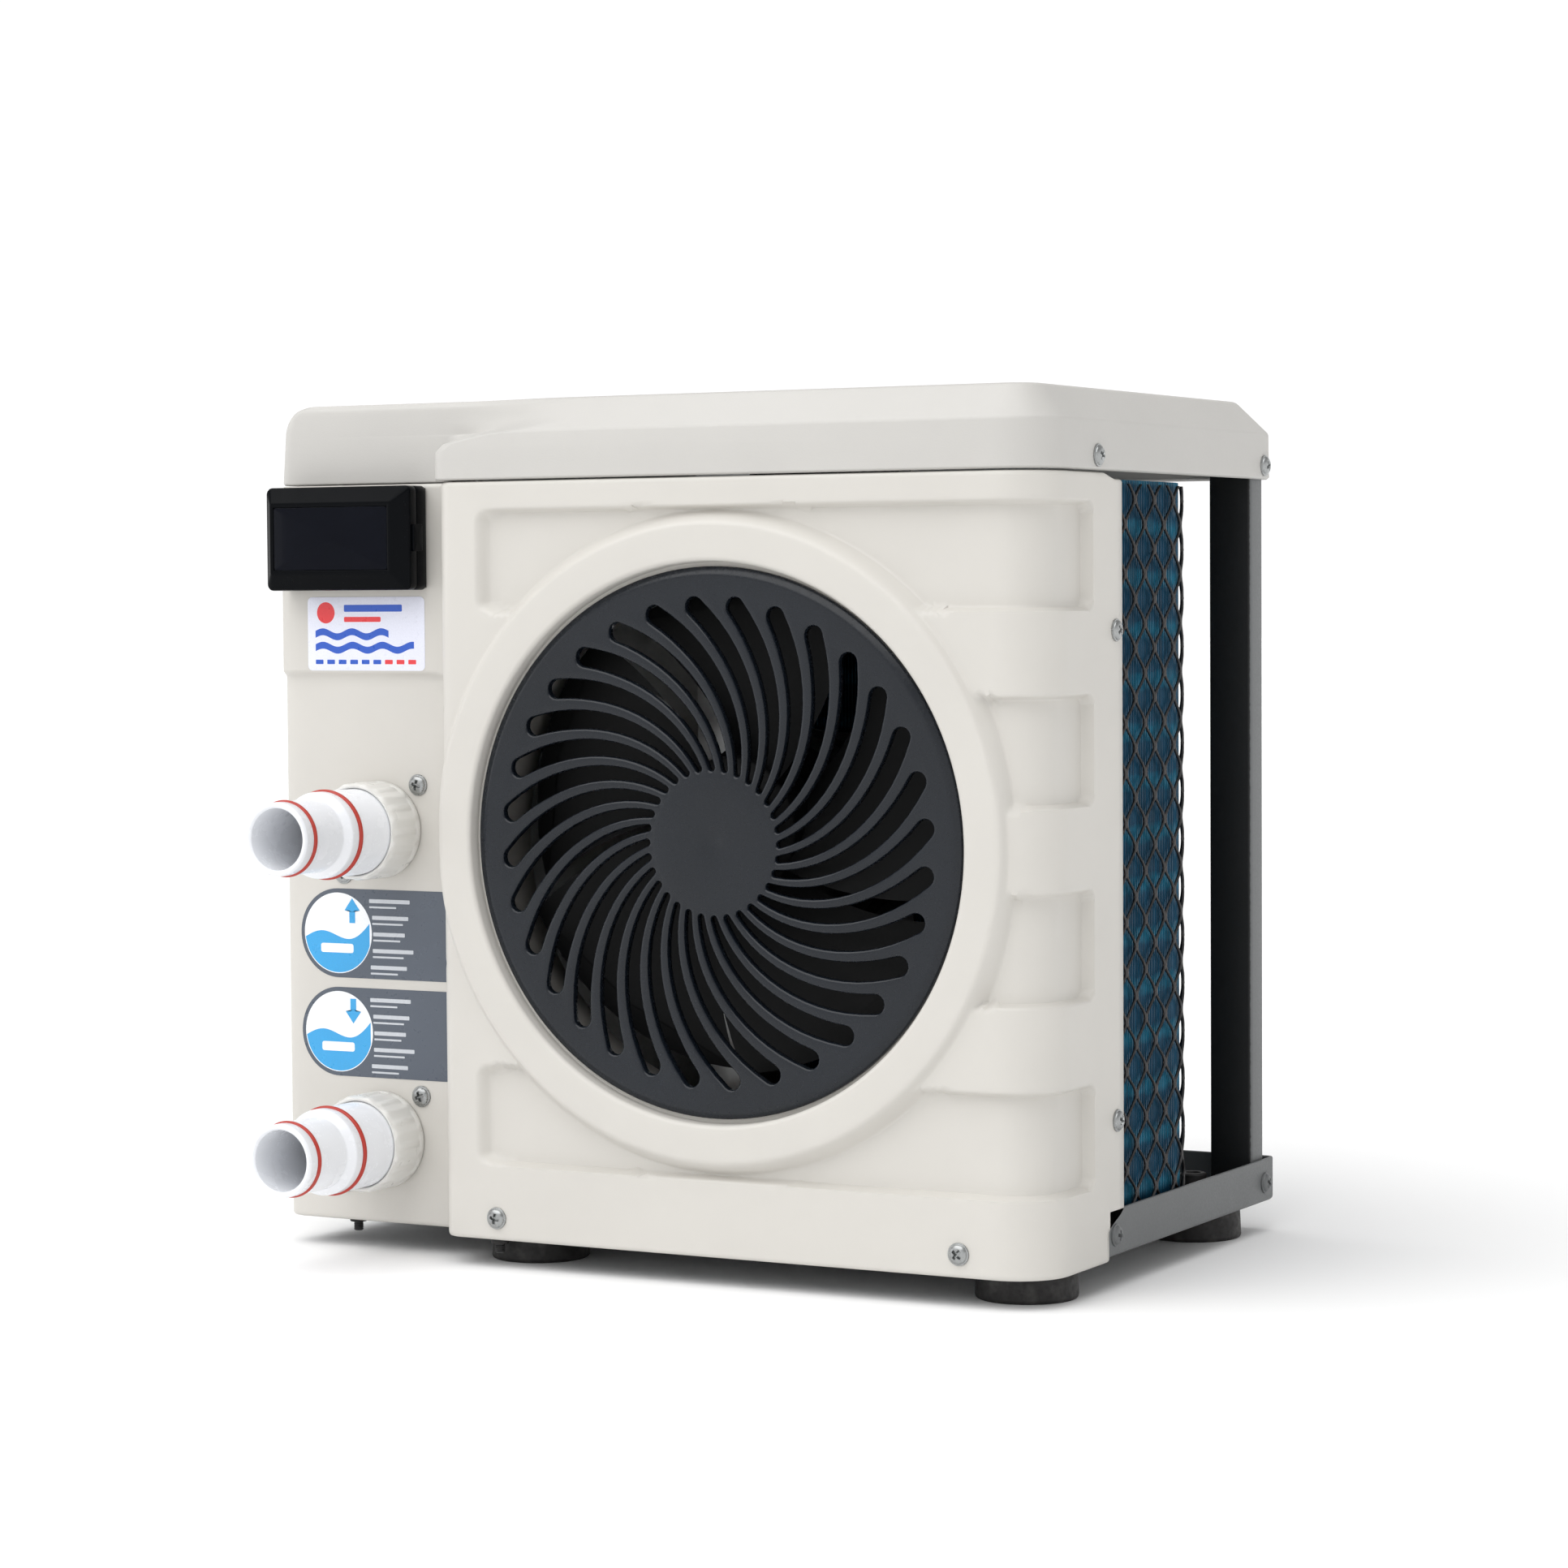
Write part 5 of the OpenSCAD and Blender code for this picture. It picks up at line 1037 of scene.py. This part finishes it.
# ---- base ----
def post_coat_with_painted_shade(outside):
    """Grey coating with painted shade: near black on the post's front leg, where shade falls, turning grey on
    the post's outer face, with a fine stipple.
    """
    f = Finish("post_coat_with_painted_shade", Metallic=0.05)
    edge = outside * MM + ORIGIN[0]
    place = f.maths("ADD", f.axis("X"), f.ranged(f.noise(2, 2), 0.3, 0.7, -0.1 * MM, 0.1 * MM))
    # painted shade mask: 0 on the shaded front leg, 1 on the outer face, which keeps the coating's grey
    face = f.ranged(place, edge - 1.0 * MM, edge - 0.5 * MM, 0, 1)
    # painted shade: near-black tones stand in for the shade on the post's front leg
    post_painted_shade = f.blend(f.noise(0.5, 3), linear(7, 9, 11), linear(11, 13, 15))
    f.colour(f.blend(face, post_painted_shade, tuple(colours().frame)))
    f.roughness(f.ranged(f.noise(1.2, 3), 0.3, 0.7, 0.46, 0.58))
    f.bump(f.noise(0.8, 3), 0.03, 0.3)
    return f.material


def make_feet():
    """Rubber feet: a turned body that narrows a little upwards, with soft rims, and a stem through the
    tray."""
    rubber = rubbery("foot_rubber", linear(26, 24, 24))
    for place in ("front_left", "front_right", "rear_left", "rear_right"):
        node = "foot_" + place
        low, high = span(node)
        x, y, _ = middle(node)
        r, stem, hole, top = (high[0] - low[0]) / 2, 6.0, 3.3, 13.6
        profile = [(hole, 0.6), (hole + 0.8, 0), (r - 0.4, 0), (r, 1.4), (r - 0.5, top - 1.2), (r - 1.2, top),
                   (stem, top), (stem, high[2]), (hole, high[2])]
        shape = fillet(profile, [0.3, 0.3, 1.2, 1.2, 1.0, 0.6, 0.2, 1.5, 0.4], 4, closed=True)
        put(place + "_foot", [lathe(shape, x, y, "z", 72)], [rubber], "case", "black_rubber", [node], 50)


def make_studs():
    """Threaded base studs: the thread is a wave along the shank, and each carries a moulded sleeve."""
    low, high = span("base_studs")
    rubber = rubbery("stud_sleeve", linear(30, 28, 28))
    thread = sheet_metal("stud_thread", (0.12, 0.12, 0.12), 0.45, 0.8)
    radius, crest, pitch = 2.0, 0.18, 0.8
    parts = []
    for x, y in ((28.0, FACE_Y + 15), (117.0, 10.5)):
        z = np.arange(low[2], high[2], 0.2)
        r = radius + crest * np.cos(TURN * z / pitch)
        shank = np.vstack([[0, low[2]], [1.5, low[2]], np.stack([r, z], 1)[1:], [0, high[2]]])
        parts.append(lathe(shank, x, y, "z", 28, mat=1, closed=False))
        sleeve = fillet([(2.3, 9.0), (3.8, 9.0), (3.8, 13.6), (2.3, 13.6)], 0.6, 3, closed=True)
        parts.append(lathe(sleeve, x, y, "z", 36))
    put("stud_pieces", parts, [rubber, thread], "case", "black_rubber", ["base_studs"], 60)


def make_tray():
    """Folded tray: the wall of one plan outline, from the middle of its floor round a bend, up the flange,
    over its rim and back down inside."""
    low, high = span("base_tray")
    z0, z1, t, bend = low[2], high[2], 1.5, 2.2
    front, side_y = 3.2, 60.2
    step = 92 + front
    corners = [(0, high[1]), (0, side_y), (front, side_y), (front, FACE_Y + front), (step, FACE_Y + front),
               (step, front), (high[0] - front, front), (high[0] - front, side_y), (high[0], side_y),
               (high[0], high[1])]
    signs = np.array([(1, -1), (1, 1), (1, 1), (1, 1), (1, 1), (1, 1), (-1, 1), (-1, 1), (-1, 1), (-1, -1)])
    radii = np.array([4, 1, 0.6, 5, 1.5, 5, 20, 0.6, 1, 4.0])

    def outline(inset, level):
        shift = np.clip(radii + np.where(np.arange(10) == 4, inset, -inset), 0.3, None)
        return np.insert(fillet(np.array(corners) + signs * inset, shift, 5, closed=True), 2, level, axis=1)

    arc = np.linspace(0, math.pi / 2, 5)
    loops = [outline(bend * (1 - math.sin(a)), z0 + bend * (1 - math.cos(a))) for a in arc]
    loops += [outline(i, z) for i, z in ((0, z1 - 0.3), (0.3, z1), (t - 0.3, z1), (t, z1 - 0.3),
                                         (t, z0 + 2.4), (2.4, z0 + t))]
    coat = sheet_metal("tray_coating", tuple(colours().frame), 0.5, 0.25, (1, 1, 1), 0.8, 0.03, 0.06)
    put("tray_folding", [solid(loops)], [coat], "case", "grey_steel", ["base_tray"], 40)

    low, high = span("rear_post")
    section = [(low[0], low[1]), (high[0], low[1]), (high[0], high[1]), (high[0] - t, high[1]),
               (high[0] - t, low[1] + t), (low[0], low[1] + t)]
    around = fillet(section, [0.4, 1.8, 0.4, 0.4, 0.6, 0.4], 4, closed=True)
    post = solid([np.insert(around, 2, z, axis=1) for z in np.linspace(low[2], high[2], 12)])
    # the post's material, with painted shade on its front leg
    post_painted_shade = post_coat_with_painted_shade(high[0])
    put("rear_post_folding", [post], [post_painted_shade], "case", "grey_steel", ["rear_post"], 40)


# ---- screws ----
def screw_head(radius=4.6, lines=72):
    """Pan head with a washer flange, as a height over polar places: a flange, then a dome, less a cross
    recess whose depth falls off smoothly from its arms."""
    rho = np.r_[np.linspace(0, 2.5, 12), 2.9, 3.3, 3.6, 3.8, 3.92, 3.97, 4.25, radius - 0.12, radius, radius]
    rho = rho[:, None]
    t = np.linspace(0, TURN, lines, endpoint=False)
    dome = 0.7 + 1.7 * np.sqrt(np.clip(1 - (rho / 3.98) ** 2.6, 0, 1))
    a, b = np.abs(rho * np.cos(t)), np.abs(rho * np.sin(t))
    wide, narrow = np.maximum(a, b), np.minimum(a, b)
    recess = 1.5 * (1 - smooth((narrow - 0.38) / 0.3)) * (1 - smooth((wide - 1.7) / 0.55))
    height = np.where(rho > 3.975, 0.7, dome - recess)
    height[-2] = 0.55
    height[-1] = 0.0
    points = np.stack([rho * np.cos(t), rho * np.sin(t), height], -1)
    base = np.zeros((1, lines, 3))
    return grid(np.concatenate([points, base]), wrap_v=True)


def turned_to(direction, lean):
    """Rotation that takes +z to a direction, after a turn of lean about z."""
    quaternion = Vector(direction).to_track_quat("Z", "Y")
    return np.array(quaternion.to_matrix() @ Matrix.Rotation(lean, 3, "Z"))


def make_screws():
    """Screw heads of all four kinds, each with its own turn of the cross."""
    zinc = sheet_metal("zinc_plating", (0.36, 0.37, 0.37), 0.3, 1.0, (1, 1, 1), 1.4, 0.01, 0.12)
    dull = sheet_metal("painted_head", tuple(colours().frame), 0.45, 0.4, (1, 1, 1), 1.4, 0.02, 0.1)
    low, high = span("tray_screws")
    width, seam = span("front_panel")[1][0], span("top_cover")[0][2]
    left, right, front = (-1, 0, 0), (1, 0, 0), (0, -1, 0)
    port_x = middle("outlet_hose_tail")[0]
    ports = [middle(node)[2] for node in ("outlet_hose_tail", "inlet_hose_tail")]
    tray_y, tray_z = [low[1] + 4.6, high[1] - 4.6], (low[2] + high[2]) / 2
    cover_low, cover_high = span("cover_screws")
    flange_y = span("panel_screws")[1][1] - 4.6
    groups = {
        "cover": (zinc, "zinc_screws", [(w, (x, y, seam + 6)) for w, x in ((left, 0), (right, width))
                                        for y in (cover_low[1] + 4.6, cover_high[1] - 4.6)]),
        "panel": (zinc, "zinc_screws", [(front, (122.2, 0, 21.4)), (front, (width - 38.5, 0, 21.6))]
                  + [(w, (x, flange_y, z)) for w, x in ((left, 0), (right, width)) for z in (69, seam - 64)]),
        "tray": (dull, "dull_screws", [(w, (x, y, tray_z)) for w, x in ((left, 0), (right, width))
                                       for y in tray_y]),
        "port": (zinc, "zinc_screws", [(front, (port_x + k * 19.5, FACE_Y, z + k * 19.5)) for z in ports
                                       for k in (-1, 1)]),
    }
    head = screw_head()
    for i, (name, (metal, slot, places)) in enumerate(groups.items()):
        turns = [turned_to(direction, 0.35 + 1.1 * j + i) for j, (direction, _) in enumerate(places)]
        heads = copies(head, turns, [place for _, place in places])
        put(name + "_screw_heads", [heads], [metal], "case", slot, [name + "_screws"], 35)


# ---- labels ----
def shape(points, mat, front, thick=0.06):
    """A thin printed shape, facing forwards."""
    loop = np.asarray(points, float)
    return solid([np.insert(loop, 1, y, axis=1) for y in (front, front + thick)], mat)


def bar(x0, x1, z0, z1, mat, front, r=0.5):
    return shape(rect(x0, x1, z0, z1, r, 3)(0), mat, front)


def strip(x, lower, upper, mat, front, thick=0.06):
    """A printed strip between two lines over x, as a chain of four-sided sections."""
    y = np.full(len(x), front)
    corners = ((0, lower), (0, upper), (thick, upper), (thick, lower))
    return solid(np.stack([np.stack([x, y + deep, edge], 1) for deep, edge in corners], 1), mat)


def wave_band(x0, x1, z, height, mat, front, sway=1.1, turns=2.5):
    """A band that follows a sine between two places."""
    x = np.linspace(x0, x1, 48)
    line = z + sway * np.sin((x - x0) / (x1 - x0) * TURN * turns)
    return strip(x, line, line + height, mat, front)


def film(name, colour, rough=0.3):
    """Printed film: fine print screen in its shade and a soft orange-peel gloss."""
    f = Finish(name, Coat_Weight=0.3, Coat_Roughness=0.25)
    f.colour(f.blend(f.ranged(f.noise(0.5, 3), 0.3, 0.7, 0, 1), shaded(colour, 0.97), shaded(colour, 1.04)))
    f.roughness(f.ranged(f.noise(4, 3), 0.3, 0.7, rough - 0.04, rough + 0.06))
    f.bump(f.noise(1.8, 3), 0.015, 0.25)
    return f.material


def make_labels():
    """Name label with a sun over waves and plain bars, and two flow labels, each with a half-full disc, an
    arrow and plain bars. No lettering."""
    c = colours()
    pale, ink = film("label_pale", linear(228, 230, 244)), film("label_ink", tuple(c.ink))
    accent = film("label_accent", tuple(c.accent))
    low, high = span("name_label")
    x0, x1, z0, z1, y = low[0], high[0], low[2], high[2], high[1]
    sun = disc(x0 + 9.5, z0 + 25.0, 4.6)(0)
    parts = [slab(rect(x0, x1, z0, z1, 2.2, 4), y - 0.16, y, 0.06), shape(sun, 2, y - 0.2),
             wave_band(x0 + 4, x0 + 42, z0 + 14.2, 3.0, 1, y - 0.2),
             wave_band(x0 + 4, x0 + 55, z0 + 8.4, 3.0, 1, y - 0.2, turns=3.3),
             bar(x0 + 19, x0 + 49, z0 + 25.4, z0 + 28.4, 1, y - 0.2),
             bar(x0 + 19, x0 + 38, z0 + 21, z0 + 23.2, 2, y - 0.2)]
    parts += [bar(x0 + 4 + 6 * i, x0 + 8 + 6 * i, z0 + 2.8, z0 + 4.7, 1 + i // 6, y - 0.2, 0.3)
              for i in range(9)]
    put("name_label_print", parts, [pale, ink, accent], "case", "name_film", ["name_label"], 40)

    slate, water = film("label_slate", tuple(c.label)), film("label_water", tuple(c.water))
    low, high = span("flow_labels")
    height = 38.8
    parts = []
    for z, up in ((high[2] - height / 2, 1), (low[2] + height / 2, -1)):
        cx, y, r = low[0] + height / 2, high[1], 17.6
        t = np.linspace(math.pi / 2, 1.5 * math.pi, 32)
        left = np.stack([cx + height / 2 * np.cos(t), z + height / 2 * np.sin(t)], 1)
        outline = np.vstack([left, [(high[0], z - height / 2), (high[0], z + height / 2)]])
        parts.append(shape(outline, 0, y - 0.14, 0.14))
        parts.append(shape(disc(cx, z, r, 64)(0), 1, y - 0.18))
        x = cx + (r - 0.5) * np.cos(np.linspace(math.pi - 0.02, 0.28, 48))
        share = (x - x[0]) / (x[-1] - x[0])
        rim = np.sqrt((r - 0.4) ** 2 - (x - cx) ** 2)
        crest = z - 2 + 2.8 * np.sin(share * TURN) + 6.5 * share ** 3
        parts.append(strip(x, z - rim, np.clip(crest, z - rim + 0.05, z + rim), 2, y - 0.22))
        ax, az = cx + 7.5, z + 9.5
        arrow = np.array([(-1.5, -5), (1.5, -5), (1.5, 0.5), (4, 0.5), (0, 5.8), (-4, 0.5), (-1.5, 0.5)])
        parts.append(shape(arrow[::up] * [1, up] + [ax, az], 2, y - 0.26))
        parts.append(bar(cx - 9, cx + 8, z - 8.6, z - 4.6, 1, y - 0.26, 1))
        for i in range(5):
            top = z + 15.2 - 7.2 * i
            start = cx + 13.5 + 4.8 * math.sqrt(max(0.0, 1 - ((top - z) / 19) ** 2))
            parts.append(bar(start, start + 21 - 2.3 * (i % 3), top - 1.7, top, 3, y - 0.19, 0.3))
            parts.append(bar(start, start + 14 + 1.9 * (i % 2), top - 3.9, top - 3.1, 3, y - 0.19, 0.2))
    white = film("label_white", linear(240, 243, 246))
    grey = film("label_grey", linear(196, 200, 206))
    put("flow_label_print", parts, [slate, white, water, grey], "case", "flow_film", ["flow_labels"], 40)


# ---- pieces kept from the frame ----
def finish_frame():
    """Gives every frame node that still shows its own material."""
    steel = sheet_metal("galvanised", (0.5, 0.51, 0.51), 0.38, 0.85, (1, 1, 1), 9, 0.01, 0.14)
    black = moulded("black_enamel", linear(24, 24, 26), 0.35, 1.2, 0.04, 0.2)
    copper = copper_tube("copper_pipe")
    nylon = moulded("black_nylon", linear(22, 22, 23), 0.42, 0.7, 0.04, 0.15)
    slate = moulded("box_moulding", linear(58, 60, 66), 0.45, 0.8, 0.04, 0.05)
    zinc = sheet_metal("zinc_fitting", (0.62, 0.62, 0.61), 0.3, 1.0)
    white = gloss("vessel_moulding", linear(228, 229, 228), 0.28, 0.02)
    rubber = rubbery("mount_rubber", linear(22, 21, 21))
    # the service panel takes the cover's colour, painted shade included
    painted = sheet_metal("service_coating", tuple(colours().cover), 0.48, 0.05, (1, 1, 1), 0.9, 0.05, 0.02)
    glass = Finish("display_film", Coat_Weight=0.6, Coat_Roughness=0.08)
    glass.colour(glass.blend(glass.noise(9, 2), (0.10, 0.15, 0.13), (0.15, 0.21, 0.18)))
    glass.roughness(glass.ranged(glass.noise(3, 3), 0.3, 0.7, 0.2, 0.3))
    finishes = {
        "service_panel": painted, "partition_plate": steel, "motor_bracket": black, "coil_end_plates": steel,
        "fan_motor": black, "fan_nut": zinc, "motor_shaft": zinc, "compressor_bolts": zinc,
        "lid_hinge_pin": zinc, "evaporator_tubes": copper, "exchanger_coil": copper, "discharge_pipe": copper,
        "liquid_pipe": copper, "suction_pipe": copper, "compressor_shell": black,
        "suction_accumulator": black, "compressor_cap": slate, "electrical_box": slate,
        "electrical_box_cover": slate,
        "controller_plate": moulded("key_plate", linear(52, 55, 60), 0.4, 0.5, 0.03, 0.06),
        "cable_gland": nylon, "gland_nut": nylon, "exchanger_shell": white, "exchanger_cap": white,
        "compressor_grommets": rubber, "controller_gasket": rubber, "display_screen": glass.material,
        "control_board": board_mask("solder_mask"),
    }
    for name, node in frame["nodes"].items():
        if node.hide_render:
            continue
        if name not in finishes:
            raise RuntimeError(f"frame node {name} has no finish")
        if not node.material_slots:
            raise RuntimeError(f"frame node {name} has no material slot")
        for place in node.material_slots:
            place.material = finishes[name]


# ---- stage ----
SURROUND_FADE = (0.2, 0.42)   # heights of the sky between which the surround darkens
KEY_ANGLE = math.radians(75)
FLOOR_HALF = 20000.0


def make_stage():
    """Plain white floor, white surround, broad soft lights, and the camera."""
    stage = bpy.context.scene.pump_stage
    t = np.linspace(-FLOOR_HALF, FLOOR_HALF, 9)
    floor_mesh = bpy.data.meshes.new("floor")
    x, y = np.meshgrid(t, t, indexing="ij")
    points, faces, _ = grid(np.stack([x, y, 0 * x], -1))
    floor_mesh.from_pydata((points * MM).tolist(), [], towards((points, faces, 0), (0, 0, 1))[1].tolist())
    floor = bpy.data.objects.new("floor", floor_mesh)
    bpy.context.scene.collection.objects.link(floor)
    paint = Finish("floor_paint", Roughness=0.9, Specular_IOR_Level=0.0)
    paint.colour(paint.blend(paint.noise(400, 2), (0.93, 0.93, 0.93), (0.95, 0.95, 0.95)))
    floor_mesh.materials.append(paint.material)

    bpy.context.scene.world = white_surround(stage.surround, stage.dome)
    sun = bpy.data.lights.new("key", "SUN")
    sun.energy, sun.angle = stage.key, KEY_ANGLE
    lamp = bpy.data.objects.new("key", sun)
    lamp.rotation_euler = (-Vector(stage.key_from)).to_track_quat("-Z", "Y").to_euler()
    bpy.context.scene.collection.objects.link(lamp)
    soft_light("rim_left", (-1.6, -0.9, 0.5), 0.7, stage.rim)
    add_camera(stage)
    bpy.context.scene.view_settings.view_transform = "Standard"


def white_surround(horizon, dome):
    """World that is white round the horizon and fades to a darker dome overhead."""
    world = bpy.data.worlds.new("surround")
    world.use_nodes = True
    tree = world.node_tree
    place = tree.nodes.new("ShaderNodeTexCoord")
    split = tree.nodes.new("ShaderNodeSeparateXYZ")
    fade = tree.nodes.new("ShaderNodeMapRange")
    fade.interpolation_type = "SMOOTHSTEP"
    for socket, value in zip(RANGE_SOCKETS, (*SURROUND_FADE, horizon, dome)):
        fade.inputs[socket].default_value = value
    background = tree.nodes["Background"]
    background.inputs["Color"].default_value = (1, 1, 1, 1)
    tree.links.new(place.outputs["Generated"], split.inputs["Vector"])
    tree.links.new(split.outputs["Z"], fade.inputs["Value"])
    tree.links.new(fade.outputs["Result"], background.inputs["Strength"])
    return world


def soft_light(name, place, width, power):
    """A square area light that faces the middle of the pump."""
    data = bpy.data.lights.new(name, "AREA")
    data.size, data.energy = width, power
    lamp = bpy.data.objects.new(name, data)
    lamp.location = place
    lamp.rotation_euler = (Vector((0, 0, 0.18)) - Vector(place)).to_track_quat("-Z", "Y").to_euler()
    bpy.context.scene.collection.objects.link(lamp)


def add_camera(stage):
    """Camera turned by its azimuth, pitch and roll."""
    a, e, r = stage.azimuth, stage.pitch, stage.roll
    ahead = Vector((-math.sin(a) * math.cos(e), math.cos(a) * math.cos(e), -math.sin(e)))
    right = Vector((math.cos(a), math.sin(a), 0))
    up = right.cross(ahead)
    across, above = right * math.cos(r) + up * math.sin(r), up * math.cos(r) - right * math.sin(r)
    data = bpy.data.cameras.new("camera")
    data.lens, data.sensor_width = stage.lens, 36
    camera = bpy.data.objects.new("camera", data)
    turn = Matrix((across, above, -ahead)).transposed().to_4x4()
    camera.matrix_world = Matrix.Translation(Vector(stage.place)) @ turn
    bpy.context.scene.collection.objects.link(camera)
    bpy.context.scene.camera = camera


# ---- operators ----
class PUMP_OT_front_panel(bpy.types.Operator):
    """Moulds the front panel with its windows, pad, fan ring and duct"""
    bl_idname = "pump.front_panel"
    bl_label = "Front panel"
    bl_options = {"REGISTER", "UNDO"}

    def execute(self, context):
        make_front_panel()
        return {"FINISHED"}


class PUMP_OT_top_cover(bpy.types.Operator):
    """Moulds the top cover with its band, slopes and left shoulder"""
    bl_idname = "pump.top_cover"
    bl_label = "Top cover"
    bl_options = {"REGISTER", "UNDO"}

    def execute(self, context):
        make_top_cover()
        return {"FINISHED"}


class PUMP_OT_fan(bpy.types.Operator):
    """Builds the spiral grille and the fan behind it"""
    bl_idname = "pump.fan"
    bl_label = "Grille and fan"
    bl_options = {"REGISTER", "UNDO"}

    def execute(self, context):
        make_grille()
        make_fan()
        return {"FINISHED"}


class PUMP_OT_coil(bpy.types.Operator):
    """Builds the fin pack and the net over it"""
    bl_idname = "pump.coil"
    bl_label = "Coil and net"
    bl_options = {"REGISTER", "UNDO"}

    def execute(self, context):
        make_fins()
        make_net()
        return {"FINISHED"}


class PUMP_OT_water(bpy.types.Operator):
    """Turns the hose tails, their rings and their union nuts"""
    bl_idname = "pump.water"
    bl_label = "Water fittings"
    bl_options = {"REGISTER", "UNDO"}

    def execute(self, context):
        pvc = gloss("white_pvc", linear(238, 240, 244), 0.24, 0.012)
        waxy = gloss("nut_moulding", linear(224, 223, 219), 0.3, 0.02)
        seals = [rubbery("ring_silicone", tuple(colours().seal), 0.42, (0.5, 0.3, 0.25), 0.1),
                 rubbery("washer_rubber", linear(24, 23, 23))]
        for side in ("outlet", "inlet"):
            make_hose_tail(side + "_tail", side + "_hose_tail", pvc)
            make_seals(side + "_rings", side + "_seals", seals)
            make_union_nut(side + "_nut_ring", side + "_union_nut", side + "_nut", waxy)
        return {"FINISHED"}


class PUMP_OT_controller(bpy.types.Operator):
    """Builds the controller's housing, hinged flap, window and keys"""
    bl_idname = "pump.controller"
    bl_label = "Controller"
    bl_options = {"REGISTER", "UNDO"}

    def execute(self, context):
        make_controller()
        make_keys()
        return {"FINISHED"}


class PUMP_OT_base(bpy.types.Operator):
    """Folds the tray and post and adds the feet and studs"""
    bl_idname = "pump.base"
    bl_label = "Base"
    bl_options = {"REGISTER", "UNDO"}

    def execute(self, context):
        make_tray()
        make_feet()
        make_studs()
        return {"FINISHED"}


class PUMP_OT_screws(bpy.types.Operator):
    """Adds the heads of all screws"""
    bl_idname = "pump.screws"
    bl_label = "Screws"
    bl_options = {"REGISTER", "UNDO"}

    def execute(self, context):
        make_screws()
        return {"FINISHED"}


class PUMP_OT_labels(bpy.types.Operator):
    """Prints the three labels, without lettering"""
    bl_idname = "pump.labels"
    bl_label = "Labels"
    bl_options = {"REGISTER", "UNDO"}

    def execute(self, context):
        make_labels()
        return {"FINISHED"}


class PUMP_OT_inner_parts(bpy.types.Operator):
    """Gives the pieces kept from the frame their materials"""
    bl_idname = "pump.inner_parts"
    bl_label = "Inner parts"
    bl_options = {"REGISTER", "UNDO"}

    def execute(self, context):
        finish_frame()
        return {"FINISHED"}


class PUMP_OT_stage(bpy.types.Operator):
    """Sets up the floor, the lights and the camera"""
    bl_idname = "pump.stage"
    bl_label = "Stage"
    bl_options = {"REGISTER", "UNDO"}

    def execute(self, context):
        make_stage()
        return {"FINISHED"}


OPERATORS = (PUMP_OT_stage, PUMP_OT_front_panel, PUMP_OT_top_cover, PUMP_OT_fan, PUMP_OT_coil, PUMP_OT_water,
             PUMP_OT_controller, PUMP_OT_base, PUMP_OT_screws, PUMP_OT_labels, PUMP_OT_inner_parts)


class PUMP_PT_build(bpy.types.Panel):
    """Lists the pieces and their sizes and colours"""
    bl_label = "Heat pump"
    bl_idname = "PUMP_PT_build"
    bl_space_type = "VIEW_3D"
    bl_region_type = "UI"
    bl_category = "Heat pump"

    def draw(self, context):
        for operator in OPERATORS:
            self.layout.operator(operator.bl_idname)
        for group in (context.scene.pump_sizes, context.scene.pump_colours, context.scene.pump_stage):
            for name in group.bl_rna.properties.keys():
                if name not in ("rna_type", "name"):
                    self.layout.prop(group, name)


CLASSES = (PumpSizes, PumpColours, PumpStage, *OPERATORS, PUMP_PT_build)


def register():
    for cls in CLASSES:
        bpy.utils.register_class(cls)
    bpy.types.Scene.pump_sizes = PointerProperty(type=PumpSizes)
    bpy.types.Scene.pump_colours = PointerProperty(type=PumpColours)
    bpy.types.Scene.pump_stage = PointerProperty(type=PumpStage)


def unregister():
    del bpy.types.Scene.pump_sizes, bpy.types.Scene.pump_colours, bpy.types.Scene.pump_stage
    for cls in reversed(CLASSES):
        bpy.utils.unregister_class(cls)


def main():
    register()
    for operator in OPERATORS:
        getattr(bpy.ops.pump, operator.bl_idname.split(".")[1])()


if __name__ == "__main__":
    main()
